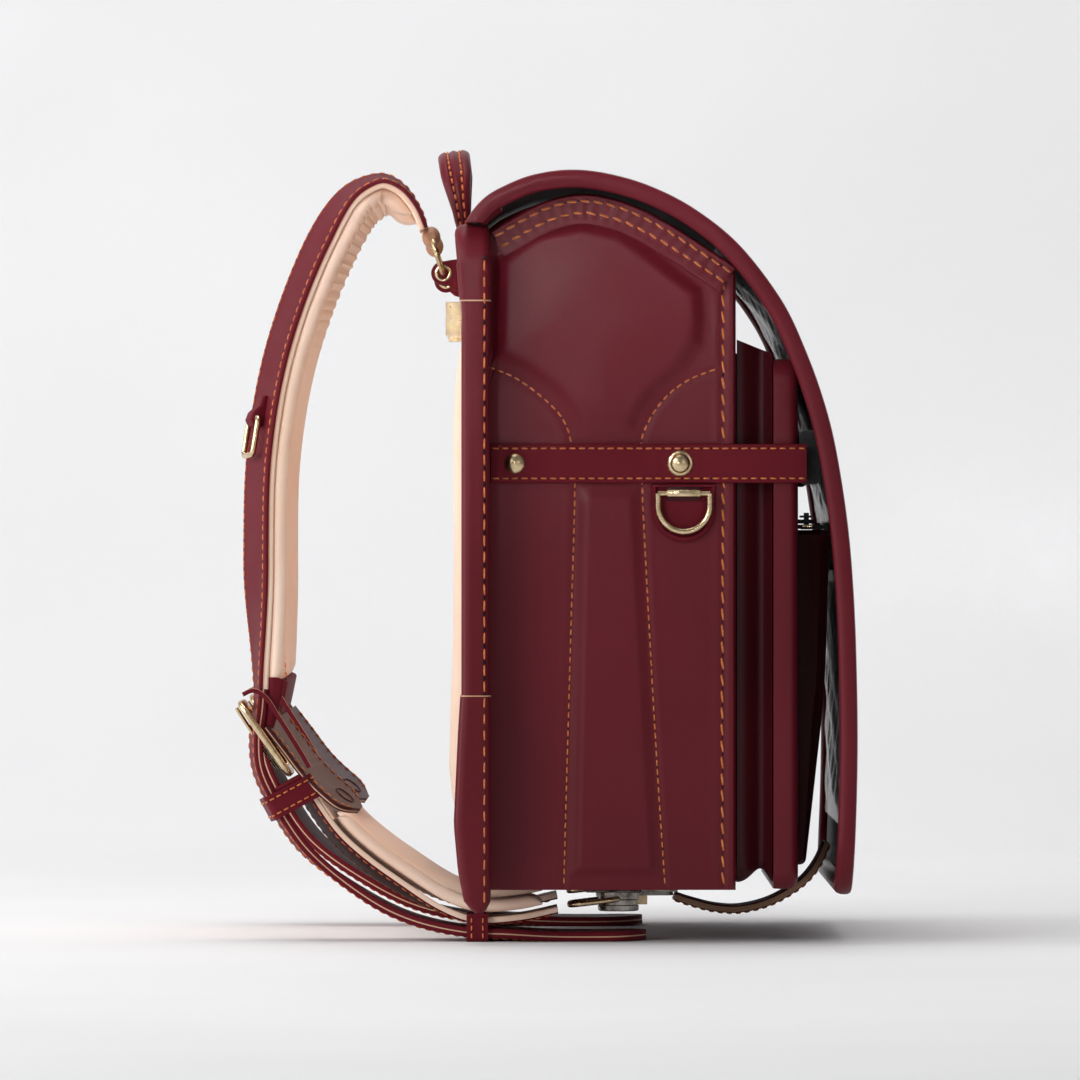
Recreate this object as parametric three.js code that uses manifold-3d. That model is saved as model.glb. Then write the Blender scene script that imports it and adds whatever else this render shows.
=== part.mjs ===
// School satchel backpack (randoseru): rigid leather box, wrap-over flap and two padded shoulder straps.
// Millimetres, +Z up. X is the width, +Y is the wearer's side, -Y the front under the flap.
// The origin is on the floor below the middle of the bounding box.
// "left" is the wearer's left, which is -X.

import * as THREE from 'three';
import { mergeVertices } from 'three/addons/utils/BufferGeometryUtils.js';
import Module from 'manifold-3d';

const wasm = await Module();
wasm.setup();

// ---------------------------------------------------------------- driving dimensions
const GAP = 0.3; // air left between neighbouring solids
const BODY_HALF = 125; // outside of the side panels
const FLAP_HALF = 150; // outside of the flap's rolled rim and of the back binding
const BODY_BOTTOM = 25.3; // underside of the box above the floor
const BACK_Y = 28.4; // where the box meets the back flange
const BINDING_BACK_Y = 45; // rear face of the rolled back binding
const FRONT_Y = -88; // front of the main compartment
const WALL = 3; // leather over board
const TOP_RAIL_Z = 340; // top of the back binding
const FLANGE_LOW_Z = 14.7; // lower ends of the back binding
const FLANGE_INNER = 137.3; // inside of the binding's side rails
const TOP_RAIL_LOW_Z = 332; // underside of the binding's top rail
const BOARD_FRONT_Y = 34.5; // inner face of the back board

const HINGE_Y = 40.3; // fold line of the flap
const HINGE_Z = 340.3;
const RIM_THICK = 8.5; // rolled rim, seen from the side
const RIM_WIDE = 9;
const FLAP_THICK = 3.4;
const FLAP_END_Z = 23;

const BELT_TOP_X = 66; // middle of a shoulder strap at its upper ring
const BELT_LOW_X = 88; // middle of a shoulder strap from the buckle down
const STRAP_WIDE = 40;
const STRAP_THICK = 4.5;
const PAD_THICK = 7;
const PAD_GAP = 1.2; // air between a shoulder strap and its pad
const LOWER_WIDE = 36;
const LOWER_THICK = 3.2;
const LOWER_PAD_THICK = 6;
const LOWER_GAP = 2.4; // air between the lower belt and its pad
const WIRE = 1.3; // radius of the strap ring wires
const CENTRE_Y = 2.92; // middle of the whole bag, front to back

// ---------------------------------------------------------------- materials
const finish = (color, roughness, metalness = 0, opacity = 1) => new THREE.MeshStandardMaterial({
  color, roughness, metalness, opacity, transparent: opacity < 1,
});
const LEATHER = finish(0x512028, 0.38);
const DARK_LEATHER = finish(0x32121a, 0.45);
const RIM_LEATHER = finish(0x6d3a43, 0.35);
const CREAM = finish(0xe6c7ae, 0.6);
const LINING = finish(0x17171a, 0.8);
const BRASS = finish(0xa08455, 0.35, 1);
const STEEL = finish(0x8d8a86, 0.3, 1);
const VINYL = finish(0xf2f2f4, 0.1, 0, 0.35);

// ---------------------------------------------------------------- helpers
const group = new THREE.Group();

function add(name, geometry, material) {
  const mesh = new THREE.Mesh(geometry, material);
  mesh.name = name;
  group.add(mesh);
}

function toSolid(geometry) {
  const bare = geometry.clone();
  bare.deleteAttribute('normal');
  bare.deleteAttribute('uv');
  const merged = mergeVertices(bare, 1e-4);
  return new wasm.Manifold(new wasm.Mesh({
    numProp: 3,
    vertProperties: new Float32Array(merged.attributes.position.array),
    triVerts: new Uint32Array(merged.index.array),
  }));
}

function toGeometry(solid) {
  const mesh = solid.getMesh();
  const geometry = new THREE.BufferGeometry();
  geometry.setAttribute('position', new THREE.BufferAttribute(mesh.vertProperties, 3));
  geometry.setIndex(new THREE.BufferAttribute(mesh.triVerts, 1));
  geometry.computeVertexNormals();
  return geometry;
}

function cut(geometry, ...tools) {
  let solid = toSolid(geometry);
  for (const tool of tools) {
    solid = solid.subtract(toSolid(tool));
  }
  return toGeometry(solid);
}

function join(...pieces) {
  let solid = toSolid(pieces[0]);
  for (const piece of pieces.slice(1)) {
    solid = solid.add(toSolid(piece));
  }
  return toGeometry(solid);
}

function box(x0, x1, y0, y1, z0, z1) {
  const geometry = new THREE.BoxGeometry(x1 - x0, y1 - y0, z1 - z0);
  return geometry.translate((x0 + x1) / 2, (y0 + y1) / 2, (z0 + z1) / 2);
}

// A shape drawn in (y, z) and extruded along X.
const SIDEWAYS = new THREE.Matrix4().makeBasis(
  new THREE.Vector3(0, 1, 0), new THREE.Vector3(0, 0, 1), new THREE.Vector3(1, 0, 0),
);
function sideways(shape, x0, x1) {
  const geometry = new THREE.ExtrudeGeometry(shape, { depth: x1 - x0, bevelEnabled: false, curveSegments: 6 });
  return geometry.applyMatrix4(SIDEWAYS).translate(x0, 0, 0);
}

// A shape drawn in (x, z) and extruded from y1 towards the front, to y0.
const FRONTWARD = new THREE.Matrix4().makeBasis(
  new THREE.Vector3(1, 0, 0), new THREE.Vector3(0, 0, 1), new THREE.Vector3(0, -1, 0),
);
function frontward(shape, y0, y1) {
  const geometry = new THREE.ExtrudeGeometry(shape, { depth: y1 - y0, bevelEnabled: false, curveSegments: 6 });
  return geometry.applyMatrix4(FRONTWARD).translate(0, y1, 0);
}

function roundedRect(u0, u1, v0, v1, radius) {
  const shape = new THREE.Shape();
  shape.moveTo(u0 + radius, v0);
  shape.lineTo(u1 - radius, v0);
  shape.absarc(u1 - radius, v0 + radius, radius, -Math.PI / 2, 0);
  shape.lineTo(u1, v1 - radius);
  shape.absarc(u1 - radius, v1 - radius, radius, 0, Math.PI / 2);
  shape.lineTo(u0 + radius, v1);
  shape.absarc(u0 + radius, v1 - radius, radius, Math.PI / 2, Math.PI);
  shape.lineTo(u0, v0 + radius);
  shape.absarc(u0 + radius, v0 + radius, radius, Math.PI, Math.PI * 1.5);
  return shape;
}

function cylinder(radius, x, y, z0, z1, sides = 16) {
  const geometry = new THREE.CylinderGeometry(radius, radius, z1 - z0, sides);
  return geometry.rotateX(Math.PI / 2).translate(x, y, (z0 + z1) / 2);
}

function crossBar(radius, x0, x1, y, z, sides = 12) {
  const geometry = new THREE.CylinderGeometry(radius, radius, Math.abs(x1 - x0), sides);
  return geometry.rotateZ(Math.PI / 2).translate((x0 + x1) / 2, y, z);
}

const points2 = (list) => list.map(([u, v]) => new THREE.Vector2(u, v));
const SIDES = [['left', -1], ['right', 1]];

// ---------------------------------------------------------------- box of the satchel
function makeBack() {
  add('back_board', box(
    -FLANGE_INNER + GAP, FLANGE_INNER - GAP, BOARD_FRONT_Y, 39.5, BODY_BOTTOM + GAP, TOP_RAIL_LOW_Z - GAP,
  ), DARK_LEATHER);
  const cushion = sideways(new THREE.Shape(points2([
    [39.8, 51], [39.8, 287], [42.5, 288], [47, 284], [48.4, 180], [49.3, 113], [49.3, 84], [46, 55], [43, 49],
  ])), -112, 112);
  add('back_cushion', cushion, CREAM);
  const frame = roundedRect(-FLAP_HALF, FLAP_HALF, FLANGE_LOW_Z, TOP_RAIL_Z, 8);
  frame.holes.push(new THREE.Path(points2([
    [-FLANGE_INNER, FLANGE_LOW_Z + 12], [FLANGE_INNER, FLANGE_LOW_Z + 12],
    [FLANGE_INNER, TOP_RAIL_LOW_Z], [-FLANGE_INNER, TOP_RAIL_LOW_Z],
  ])));
  const openBottom = box(-FLANGE_INNER, FLANGE_INNER, 0, 60, 0, FLANGE_LOW_Z + 13);
  add('back_binding', cut(frontward(frame, BACK_Y, BINDING_BACK_Y), openBottom), RIM_LEATHER);
}

// The side panel's top edge follows the underside of the flap.
const SIDE_TOP = new THREE.SplineCurve(points2([
  [BACK_Y - GAP, 337.6], [4.7, 350.5], [-14.4, 355], [-33, 352], [-49.4, 345], [-66.9, 334.5], [FRONT_Y, 320.5],
]));

function sideOutline(bottom) {
  const shape = new THREE.Shape();
  shape.moveTo(FRONT_Y, bottom);
  shape.lineTo(BOARD_FRONT_Y - GAP, bottom);
  shape.lineTo(BOARD_FRONT_Y - GAP, TOP_RAIL_LOW_Z - GAP);
  shape.lineTo(BACK_Y - GAP, TOP_RAIL_LOW_Z - GAP);
  for (const point of SIDE_TOP.getSpacedPoints(16)) {
    shape.lineTo(point.x, point.y);
  }
  return shape;
}

function makeBody() {
  const inner = BODY_HALF - WALL - GAP;
  add('side_panel_left', sideways(sideOutline(BODY_BOTTOM), -BODY_HALF, -BODY_HALF + WALL), LEATHER);
  add('side_panel_right', sideways(sideOutline(BODY_BOTTOM), BODY_HALF - WALL, BODY_HALF), LEATHER);
  add('bottom_panel', box(
    -inner, inner, FRONT_Y + WALL + GAP, BOARD_FRONT_Y - GAP, BODY_BOTTOM, BODY_BOTTOM + WALL,
  ), LEATHER);
  add('front_wall', box(-inner, inner, FRONT_Y, FRONT_Y + WALL, BODY_BOTTOM, 312), LINING);
}

// ---------------------------------------------------------------- pockets on the front
const GUSSET_HALF = 119;
const POCKET_HALF = 124.6;
const POCKET_BACK_Y = -105.8;
const POCKET_ROLL_Y = -117.6;
const POCKET_TOP_Z = 277;
const POCKET_CORNER = 9;
const ROLL_WIDE = 8; // width of the pocket front's rolled edges
const PLATE = 3.2; // pocket front between its rolled edges

function makePockets() {
  const gussetBack = FRONT_Y - GAP;
  const gusset = cut(
    box(-GUSSET_HALF, GUSSET_HALF, POCKET_BACK_Y + GAP, gussetBack, 28, 287),
    box(-GUSSET_HALF + 2.5, GUSSET_HALF - 2.5, POCKET_BACK_Y - 1, gussetBack + 1, 30.5, 290),
  );
  add('pocket_gusset', gusset, DARK_LEATHER);

  const outline = () => roundedRect(-POCKET_HALF, POCKET_HALF, BODY_BOTTOM, POCKET_TOP_Z, POCKET_CORNER);
  const plate = frontward(outline(), POCKET_BACK_Y - PLATE, POCKET_BACK_Y);
  const roll = outline();
  roll.holes.push(new THREE.Path(points2([
    [-POCKET_HALF + ROLL_WIDE, BODY_BOTTOM + ROLL_WIDE], [POCKET_HALF - ROLL_WIDE, BODY_BOTTOM + ROLL_WIDE],
    [POCKET_HALF - ROLL_WIDE, POCKET_TOP_Z - ROLL_WIDE], [-POCKET_HALF + ROLL_WIDE, POCKET_TOP_Z - ROLL_WIDE],
  ])));
  const underFlap = sideways(flapBand(-12, 1 + FLAP_THICK + 2 * GAP, 40), -FLAP_HALF, FLAP_HALF);
  add('pocket_front', cut(join(plate, frontward(roll, POCKET_ROLL_Y, POCKET_BACK_Y)), underFlap), LEATHER);
}

const ZIP_HALF = 110;
const ZIP_BACK_Y = POCKET_BACK_Y - PLATE - GAP;
const ZIP_TOP_Z = 196;
const ZIP_WALL = 1.8;
const ZIP_TAPE_Y = -122.5; // middle of the zip's mouth
const SLIDER_X = -86; // zip closed
const PULL_Z = 6.2; // bar of the zip pull above the pocket's top

// Wedge-shaped pocket, deepest at the top, with its mouth in the top face.
function zipOutline(inset) {
  return new THREE.Shape(points2([
    [ZIP_BACK_Y - inset, 36 + inset], [ZIP_BACK_Y - inset, ZIP_TOP_Z - inset],
    [-133.5 + inset, ZIP_TOP_Z - inset], [-131 + inset, 120], [-121.5 + inset, 36 + inset],
  ]));
}

function makeZipPocket() {
  const shell = cut(
    sideways(zipOutline(0), -ZIP_HALF, ZIP_HALF),
    sideways(zipOutline(ZIP_WALL), -ZIP_HALF + ZIP_WALL, ZIP_HALF - ZIP_WALL),
    box(-ZIP_HALF + 6, ZIP_HALF - 6, ZIP_TAPE_Y - 6, ZIP_TAPE_Y + 6, ZIP_TOP_Z - 4, ZIP_TOP_Z + 1),
  );
  add('zip_pocket', shell, DARK_LEATHER);
  const tape = cut(
    box(-ZIP_HALF + 4, ZIP_HALF - 4, ZIP_TAPE_Y - 8, ZIP_TAPE_Y + 8, ZIP_TOP_Z + GAP, ZIP_TOP_Z + 2.5),
    box(-ZIP_HALF + 8, ZIP_HALF - 8, ZIP_TAPE_Y - 2.6, ZIP_TAPE_Y + 2.6, ZIP_TOP_Z - 1, ZIP_TOP_Z + 4),
  );
  add('zipper_tape', tape, LINING);
  const sliderBody = join(
    box(-5, 5, -4, 4, 2.8, 4.8),
    box(-2.2, 2.2, -1.2, 1.2, 1, 8),
  );
  const slider = cut(sliderBody, new THREE.CylinderGeometry(1.3, 1.3, 10, 10).translate(0, 0, PULL_Z));
  add('zipper_slider', slider.translate(SLIDER_X, ZIP_TAPE_Y, ZIP_TOP_Z), BRASS);
  const pull = cut(
    box(-0.5, 17, -2.8, 2.8, PULL_Z - 0.5, PULL_Z + 0.5),
    box(0.5, 6, -1.7, 1.7, PULL_Z - 2, PULL_Z + 2),
  );
  add('zipper_pull', pull.translate(SLIDER_X, ZIP_TAPE_Y, ZIP_TOP_Z), BRASS);
}

// ---------------------------------------------------------------- side belts, their studs and the side rings
const BELT_Z0 = 218;
const BELT_Z1 = 236.5;
const BELT_FACE = BODY_HALF + GAP + 2.5;
const BELT_END_Y = -122.5;
const RIVET_Y = 16.6;
const SNAP_Y = -61.6;
const RING_BAR_Y = -63.4;
const RING_BAR_Z = 213;
const RING_BAR_X = BODY_HALF + 4.3;

function stud(radius, height, sideSign, y) {
  const dome = new THREE.LatheGeometry(points2([
    [0, 0], [radius, 0], [radius, height * 0.35], [radius * 0.75, height * 0.8], [0, height],
  ]), 16);
  dome.rotateZ(-sideSign * Math.PI / 2);
  return dome.translate(sideSign * (BELT_FACE + GAP), y, (BELT_Z0 + BELT_Z1) / 2);
}

function makeSideBelts() {
  for (const [label, s] of SIDES) {
    const inside = s * (BODY_HALF + GAP);
    const outside = s * BELT_FACE;
    const belt = box(
      Math.min(inside, outside), Math.max(inside, outside), BELT_END_Y, BACK_Y - GAP, BELT_Z0, BELT_Z1,
    );
    add(`side_belt_${label}`, belt, LEATHER);
    add(`belt_rivet_${label}`, stud(4.8, 2.6, s, RIVET_Y), BRASS);
    add(`belt_snap_${label}`, stud(6, 3.6, s, SNAP_Y), BRASS);

    const low = s * (BODY_HALF + GAP);
    const high = s * (BODY_HALF + 8);
    const mount = cut(
      box(Math.min(low, high), Math.max(low, high), RING_BAR_Y - 9, RING_BAR_Y + 9, RING_BAR_Z - 4, RING_BAR_Z + 4),
      barAlongY(2.5, s * RING_BAR_X, RING_BAR_Y, RING_BAR_Z, 20),
    );
    add(`dring_mount_${label}`, mount, LEATHER);
    add(`side_dring_${label}`, dRing(s * RING_BAR_X, RING_BAR_Y, RING_BAR_Z, 12.3, 18, 1.5), BRASS);
  }
}

function barAlongY(radius, x, y, z, length) {
  return new THREE.CylinderGeometry(radius, radius, length, 12).translate(x, y, z);
}

// D ring in the (y, z) plane: straight bar on top, round bow below it.
function dRing(x, y, z, half, drop, wire) {
  const outline = new THREE.Shape();
  outline.moveTo(-half - wire, wire);
  outline.lineTo(-half - wire, -drop + half);
  outline.absarc(0, -drop + half, half + wire, Math.PI, 2 * Math.PI);
  outline.lineTo(half + wire, wire);
  const hole = new THREE.Path();
  hole.moveTo(-half + wire, -wire);
  hole.lineTo(half - wire, -wire);
  hole.lineTo(half - wire, -drop + half);
  hole.absarc(0, -drop + half, half - wire, 0, -Math.PI, true);
  outline.holes.push(hole);
  return sideways(outline, -wire, wire).translate(x, y, z);
}

// ---------------------------------------------------------------- flap
const FLAP_OUTER = new THREE.SplineCurve(points2([
  [40.2, HINGE_Z + GAP], [36, 347], [30.6, 352.6], [23.5, 357], [9.4, 362.8], [-8, 365.5], [-25.9, 364],
  [-47.1, 357.9], [-68.3, 347], [-89.5, 329.8], [-109.2, 304], [-120.5, 280.4], [-129, 256.9], [-134.9, 233.4],
  [-140.4, 198], [-143.3, 162.8], [-144.6, 127.4], [-145, 92], [-144.2, 57], [-142.6, FLAP_END_Z],
]));

// Band of the flap between two depths below its outer line; it never dips under the fold line at the root.
function flapBand(outerDepth, innerDepth, steps, from = 0, to = 1) {
  const outer = [];
  const inner = [];
  for (let i = 0; i <= steps; i += 1) {
    const t = from + ((to - from) * i) / steps;
    const at = FLAP_OUTER.getPointAt(t);
    const tangent = FLAP_OUTER.getTangentAt(t);
    const inward = new THREE.Vector2(-tangent.y, tangent.x);
    for (const [depth, list] of [[outerDepth, outer], [innerDepth, inner]]) {
      const point = at.clone().addScaledVector(inward, depth);
      point.y = point.x > 0 ? Math.max(point.y, HINGE_Z + GAP) : point.y;
      list.push(point);
    }
  }
  return new THREE.Shape([...outer, ...inner.reverse()]);
}

const HANDLE_NOTCH = 47; // half width of the gap in the flap's root for the handle

function makeFlap() {
  const inner = FLAP_HALF - RIM_WIDE;
  const endBar = FLAP_END_Z + RIM_THICK;
  const notch = box(-HANDLE_NOTCH, HANDLE_NOTCH, 27, 60, 330, 380);
  const panel = cut(
    sideways(flapBand(1, 1 + FLAP_THICK, 40), -inner + GAP, inner - GAP),
    notch,
    box(-FLAP_HALF, FLAP_HALF, -160, -100, 0, endBar + GAP),
  );
  add('flap_panel', panel, LEATHER);
  const rail = flapBand(0, RIM_THICK, 40);
  const crossRail = box(-inner - 1, inner + 1, -142.6, -142.6 + RIM_THICK, FLAP_END_Z, endBar);
  add('flap_rim', join(sideways(rail, -FLAP_HALF, -inner), sideways(rail, inner, FLAP_HALF), crossRail), RIM_LEATHER);
  const sheet = flapBand(7.3, 8.1, 12, 0.67, 0.93);
  add('flap_window', sideways(sheet, -105, 105), VINYL);
}

// Leather tongue from the inside of the flap, under the box, to the turn lock.
const TONGUE = new THREE.SplineCurve(points2([
  [-134.5, 44], [-130, 34], [-122, 24.5], [-108, 16], [-93, 12], [-80, 12.5], [-68, 15.5], [-60.5, 18],
]));

function makeLock() {
  const outer = [];
  const inner = [];
  for (let i = 0; i <= 14; i += 1) {
    const at = TONGUE.getPointAt(i / 14);
    const tangent = TONGUE.getTangentAt(i / 14);
    const side = new THREE.Vector2(-tangent.y, tangent.x).multiplyScalar(1.7);
    outer.push(at.clone().sub(side));
    inner.push(at.clone().add(side));
  }
  add('closing_strap', sideways(new THREE.Shape([...outer, ...inner.reverse()]), -17, 17), LEATHER);
  const plate = roundedRect(-19, 19, -60, -24, 6);
  plate.holes.push(new THREE.Path().absellipse(0, -40, 9, 4, 0, 2 * Math.PI, true));
  const plateSolid = new THREE.ExtrudeGeometry(plate, { depth: 1.6, bevelEnabled: false, curveSegments: 6 });
  add('closing_plate', plateSolid.translate(0, 0, 18.6), STEEL);
  add('lock_body', cut(
    box(-24, 24, -62, -18, 20.6, BODY_BOTTOM - GAP),
    cylinder(2.6, 0, -40, 19, 24, 16),
  ), STEEL);
  const knob = join(
    box(-2.2, 2.2, -47.5, -32.5, 13.6, 18.2),
    cylinder(2.2, 0, -40, 18, 23.6, 16),
  );
  add('lock_knob', knob, BRASS);
}

// ---------------------------------------------------------------- handle
const HANDLE_PIVOT_Y = 42;
const HANDLE_PIVOT_Z = 344.5;
const HANDLE_HALF = 36;
const HANDLE_RISE = 36.5;
const HANDLE_LEAN = 8 * Math.PI / 180;

function makeHandle() {
  const outer = new THREE.Shape();
  outer.moveTo(-HANDLE_HALF - 4, -3.8);
  outer.lineTo(-HANDLE_HALF + 5, -3.8);
  outer.bezierCurveTo(-HANDLE_HALF + 5, 12, -HANDLE_HALF + 12, HANDLE_RISE - 8, 0, HANDLE_RISE - 8);
  outer.bezierCurveTo(HANDLE_HALF - 12, HANDLE_RISE - 8, HANDLE_HALF - 5, 12, HANDLE_HALF - 5, -3.8);
  outer.lineTo(HANDLE_HALF + 4, -3.8);
  outer.bezierCurveTo(HANDLE_HALF + 4, 16, HANDLE_HALF - 8, HANDLE_RISE, 0, HANDLE_RISE);
  outer.bezierCurveTo(-HANDLE_HALF + 8, HANDLE_RISE, -HANDLE_HALF - 4, 16, -HANDLE_HALF - 4, -3.8);
  const arch = new THREE.ExtrudeGeometry(outer, { depth: 16, bevelEnabled: false, curveSegments: 12 });
  arch.applyMatrix4(FRONTWARD).translate(0, 8, 0);
  // Seen from the side the arch is slim at its feet and full at the crest, and its feet are round.
  const sideView = new THREE.Shape(points2([
    [-2.4, -3.2], [0, -3.8], [2.4, -3.2], [3.8, 0], [4.5, 8], [8, 24], [8, 34], [5, 37], [-5, 37], [-8, 34], [-8, 24],
    [-4.5, 8], [-3.8, 0],
  ]));
  const trimmed = toGeometry(toSolid(arch).intersect(toSolid(sideways(sideView, -50, 50))));
  trimmed.rotateX(-HANDLE_LEAN).translate(0, HANDLE_PIVOT_Y, HANDLE_PIVOT_Z);
  add('handle', trimmed, LEATHER);
}

// ---------------------------------------------------------------- fittings for the straps
const RING_EYE = [51.2, 319]; // where a strap ring passes through its anchor, (y, z)
const RING_UP = new THREE.Vector2(5.6, 17).normalize(); // from the eye to the strap end
const RING_LONG = 18;
const FIN_ROUND = 6; // round end of an anchor fin, about its eye
const POST_Y = -32.7;
const POST_EYE_Z = 20;

function makeFittings() {
  const bracket = join(
    box(-84, 84, 39.8, 41.4, 289, 331.4),
    box(-BELT_TOP_X - 9, -BELT_TOP_X + 9, 41, 49.8, 289, 305),
    box(BELT_TOP_X - 9, BELT_TOP_X + 9, 41, 49.8, 289, 305),
  );
  add('sekan_bracket', bracket, BRASS);
  for (const [label, s] of SIDES) {
    const fin = new THREE.Shape();
    fin.moveTo(41.7, 310);
    fin.absarc(RING_EYE[0], RING_EYE[1], FIN_ROUND, -0.62 * Math.PI, 0.5 * Math.PI);
    fin.lineTo(41.7, 326);
    fin.holes.push(new THREE.Path().absellipse(RING_EYE[0], RING_EYE[1], 3.2, 3.2, 0, 2 * Math.PI, true));
    const x = s * BELT_TOP_X;
    add(`strap_anchor_${label}`, sideways(fin, x - 2, x + 2), LEATHER);

    const px = s * BELT_LOW_X;
    const post = cut(
      join(
        cylinder(9.8, px, POST_Y, 14, 25, 20),
        box(px - 16, px + 16, POST_Y - 11, POST_Y + 16, 23.2, BODY_BOTTOM - GAP),
      ),
      box(px - 12, px + 12, POST_Y - 4.5, POST_Y + 5, POST_EYE_Z - 2, POST_EYE_Z + 2),
    );
    add(`strap_post_${label}`, post, STEEL);
  }
}

// ---------------------------------------------------------------- shoulder straps
// Outer face of a shoulder strap, (y, z), from its upper ring over the crest, down, and under the bag.
const STRAP_ROUTE = [
  [58.2, 340.5], [62.5, 351], [69.8, 360.7], [79.4, 365.5], [90.5, 362.6], [99.7, 355.4], [114.1, 330.8],
  [131.5, 282.6], [140, 234.4], [141.6, 186.2], [140.4, 138], [140.4, 114], [142.4, 96], [141.4, 82.5],
  [136.8, 70.5], [119.4, 43], [89.1, 19.4], [67.4, 8.6], [42, 2.6], [20, 1.4], [0, 0.3], [-24, 0.1], [-46, 0.6],
];
// Outer face of the lower belt, from the buckle to the ring under the bag.
const LOWER_ROUTE = [
  [121.5, 75.5], [112.8, 61.6], [103.2, 48.6], [88.8, 35.6], [72, 24], [52.8, 13.6], [35.9, 8.6], [14.3, 9.6],
  [-4, 13.4],
];
// Outer face of the leather shield that keeps the buckle off the wearer.
const SHIELD_ROUTE = [[132.5, 104], [124, 93], [114, 80], [103, 69.5], [91.5, 61]];
const SHIELD_STEPS = 12;
const SHIELD_THICK = 3;
const STRAP_STEPS = 56; // the pad shares the strap's steps, so the two stay parallel
const PAD_FROM = 1;
const PAD_TO = 30;
const LOWER_STEPS = 24;
const LOWER_PAD_FROM = 4;
const LOWER_PAD_TO = 23;
const SHOULDER_BANK = 17 * Math.PI / 180;
const LOW_BANK = 5 * Math.PI / 180;
const LOWER_BELT_BANK = 9 * Math.PI / 180;

function beltX(z, s) {
  return s * THREE.MathUtils.lerp(BELT_TOP_X, BELT_LOW_X, THREE.MathUtils.clamp((335 - z) / 215, 0, 1));
}

function shoulderBank(t) {
  const rise = THREE.MathUtils.smoothstep(t, 0, 0.15);
  const fall = THREE.MathUtils.smoothstep(t, 0.43, 0.55);
  return THREE.MathUtils.lerp(SHOULDER_BANK * rise, LOW_BANK * (1 - THREE.MathUtils.smoothstep(t, 0.66, 0.78)), fall);
}

function lowerBank(t) {
  return LOWER_BELT_BANK * (1 - THREE.MathUtils.smoothstep(t, 0.4, 0.75));
}

// Frame along a belt: W across it, T along it, N out of its outer face.
function beltFrames(route, s, bankAt) {
  const curve = new THREE.CatmullRomCurve3(route.map(([y, z]) => new THREE.Vector3(beltX(z, s), y, z)));
  curve.arcLengthDivisions = 600;
  return (t) => {
    const origin = curve.getPointAt(t);
    const along = curve.getTangentAt(t);
    const out = new THREE.Vector3(1, 0, 0).cross(along).normalize();
    const across = out.clone().cross(along).normalize();
    const bank = bankAt(t);
    const w = across.clone().multiplyScalar(Math.cos(bank)).addScaledVector(out, s * Math.sin(bank));
    const n = out.clone().multiplyScalar(Math.cos(bank)).addScaledVector(across, -s * Math.sin(bank));
    return new THREE.Matrix4().makeBasis(w, n, along).setPosition(origin);
  };
}

const TAPER_SHARE = 0.035; // part of a band over which its end narrows

// Straight bar, width along X and thickness along Y, bent onto a belt's frames.
function bentBand(frameAt, half, n0, n1, from, to, steps, endTaper = 0) {
  const section = new THREE.Shape(points2([[-half, n0], [half, n0], [half, n1], [-half, n1]]));
  const band = new THREE.ExtrudeGeometry(section, { depth: 1, steps, bevelEnabled: false });
  const place = band.attributes.position;
  const vertex = new THREE.Vector3();
  for (let i = 0; i < place.count; i += 1) {
    vertex.fromBufferAttribute(place, i);
    const t = from + (to - from) * vertex.z;
    const narrow = 1 - THREE.MathUtils.smoothstep(t, to - TAPER_SHARE, to) * endTaper;
    vertex.x *= narrow;
    vertex.z = 0;
    vertex.applyMatrix4(frameAt(t));
    place.setXYZ(i, vertex.x, vertex.y, vertex.z);
  }
  return band;
}

// Sleeve of leather round a belt: inside width and depth, wall thickness, length along the belt.
function keeper(insideHalf, n0, n1, wall, long) {
  const shape = new THREE.Shape(points2([
    [-insideHalf - wall, n0 - wall], [insideHalf + wall, n0 - wall],
    [insideHalf + wall, n1 + wall], [-insideHalf - wall, n1 + wall],
  ]));
  shape.holes.push(new THREE.Path(points2([
    [-insideHalf, n0], [-insideHalf, n1], [insideHalf, n1], [insideHalf, n0],
  ])));
  const sleeve = new THREE.ExtrudeGeometry(shape, { depth: long, bevelEnabled: false });
  return sleeve.translate(0, 0, -long / 2);
}

// Oval wire ring in its own (x, y) plane, long side along y, centred on the origin.
function ovalRing(halfWide, halfLong, wire, corner) {
  const ring = roundedRect(-halfWide - wire, halfWide + wire, -halfLong - wire, halfLong + wire, corner + wire);
  const inside = roundedRect(-halfWide + wire, halfWide - wire, -halfLong + wire, halfLong - wire, corner - wire);
  ring.holes.push(new THREE.Path(inside.getPoints(2).reverse()));
  const geometry = new THREE.ExtrudeGeometry(ring, { depth: 2 * wire, bevelEnabled: false, curveSegments: 2 });
  return geometry.translate(0, 0, -wire);
}

// Places a flat piece drawn in (x, y) so that its y runs along the given (y, z) direction.
function leanInto(geometry, direction, x, y, z) {
  const along = new THREE.Vector3(0, direction.x, direction.y).normalize();
  const across = new THREE.Vector3(1, 0, 0);
  const normal = across.clone().cross(along);
  return geometry.applyMatrix4(new THREE.Matrix4().makeBasis(across, along, normal)).translate(x, y, z);
}

const BUCKLE_TOP = new THREE.Vector2(146.4, 112.4); // outer bar of the buckle, (y, z)
const BUCKLE_LOW = new THREE.Vector2(124.6, 80.8); // inner bar
const KEEPER_T = 0.642;
const DRING_T = 0.3;

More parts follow.
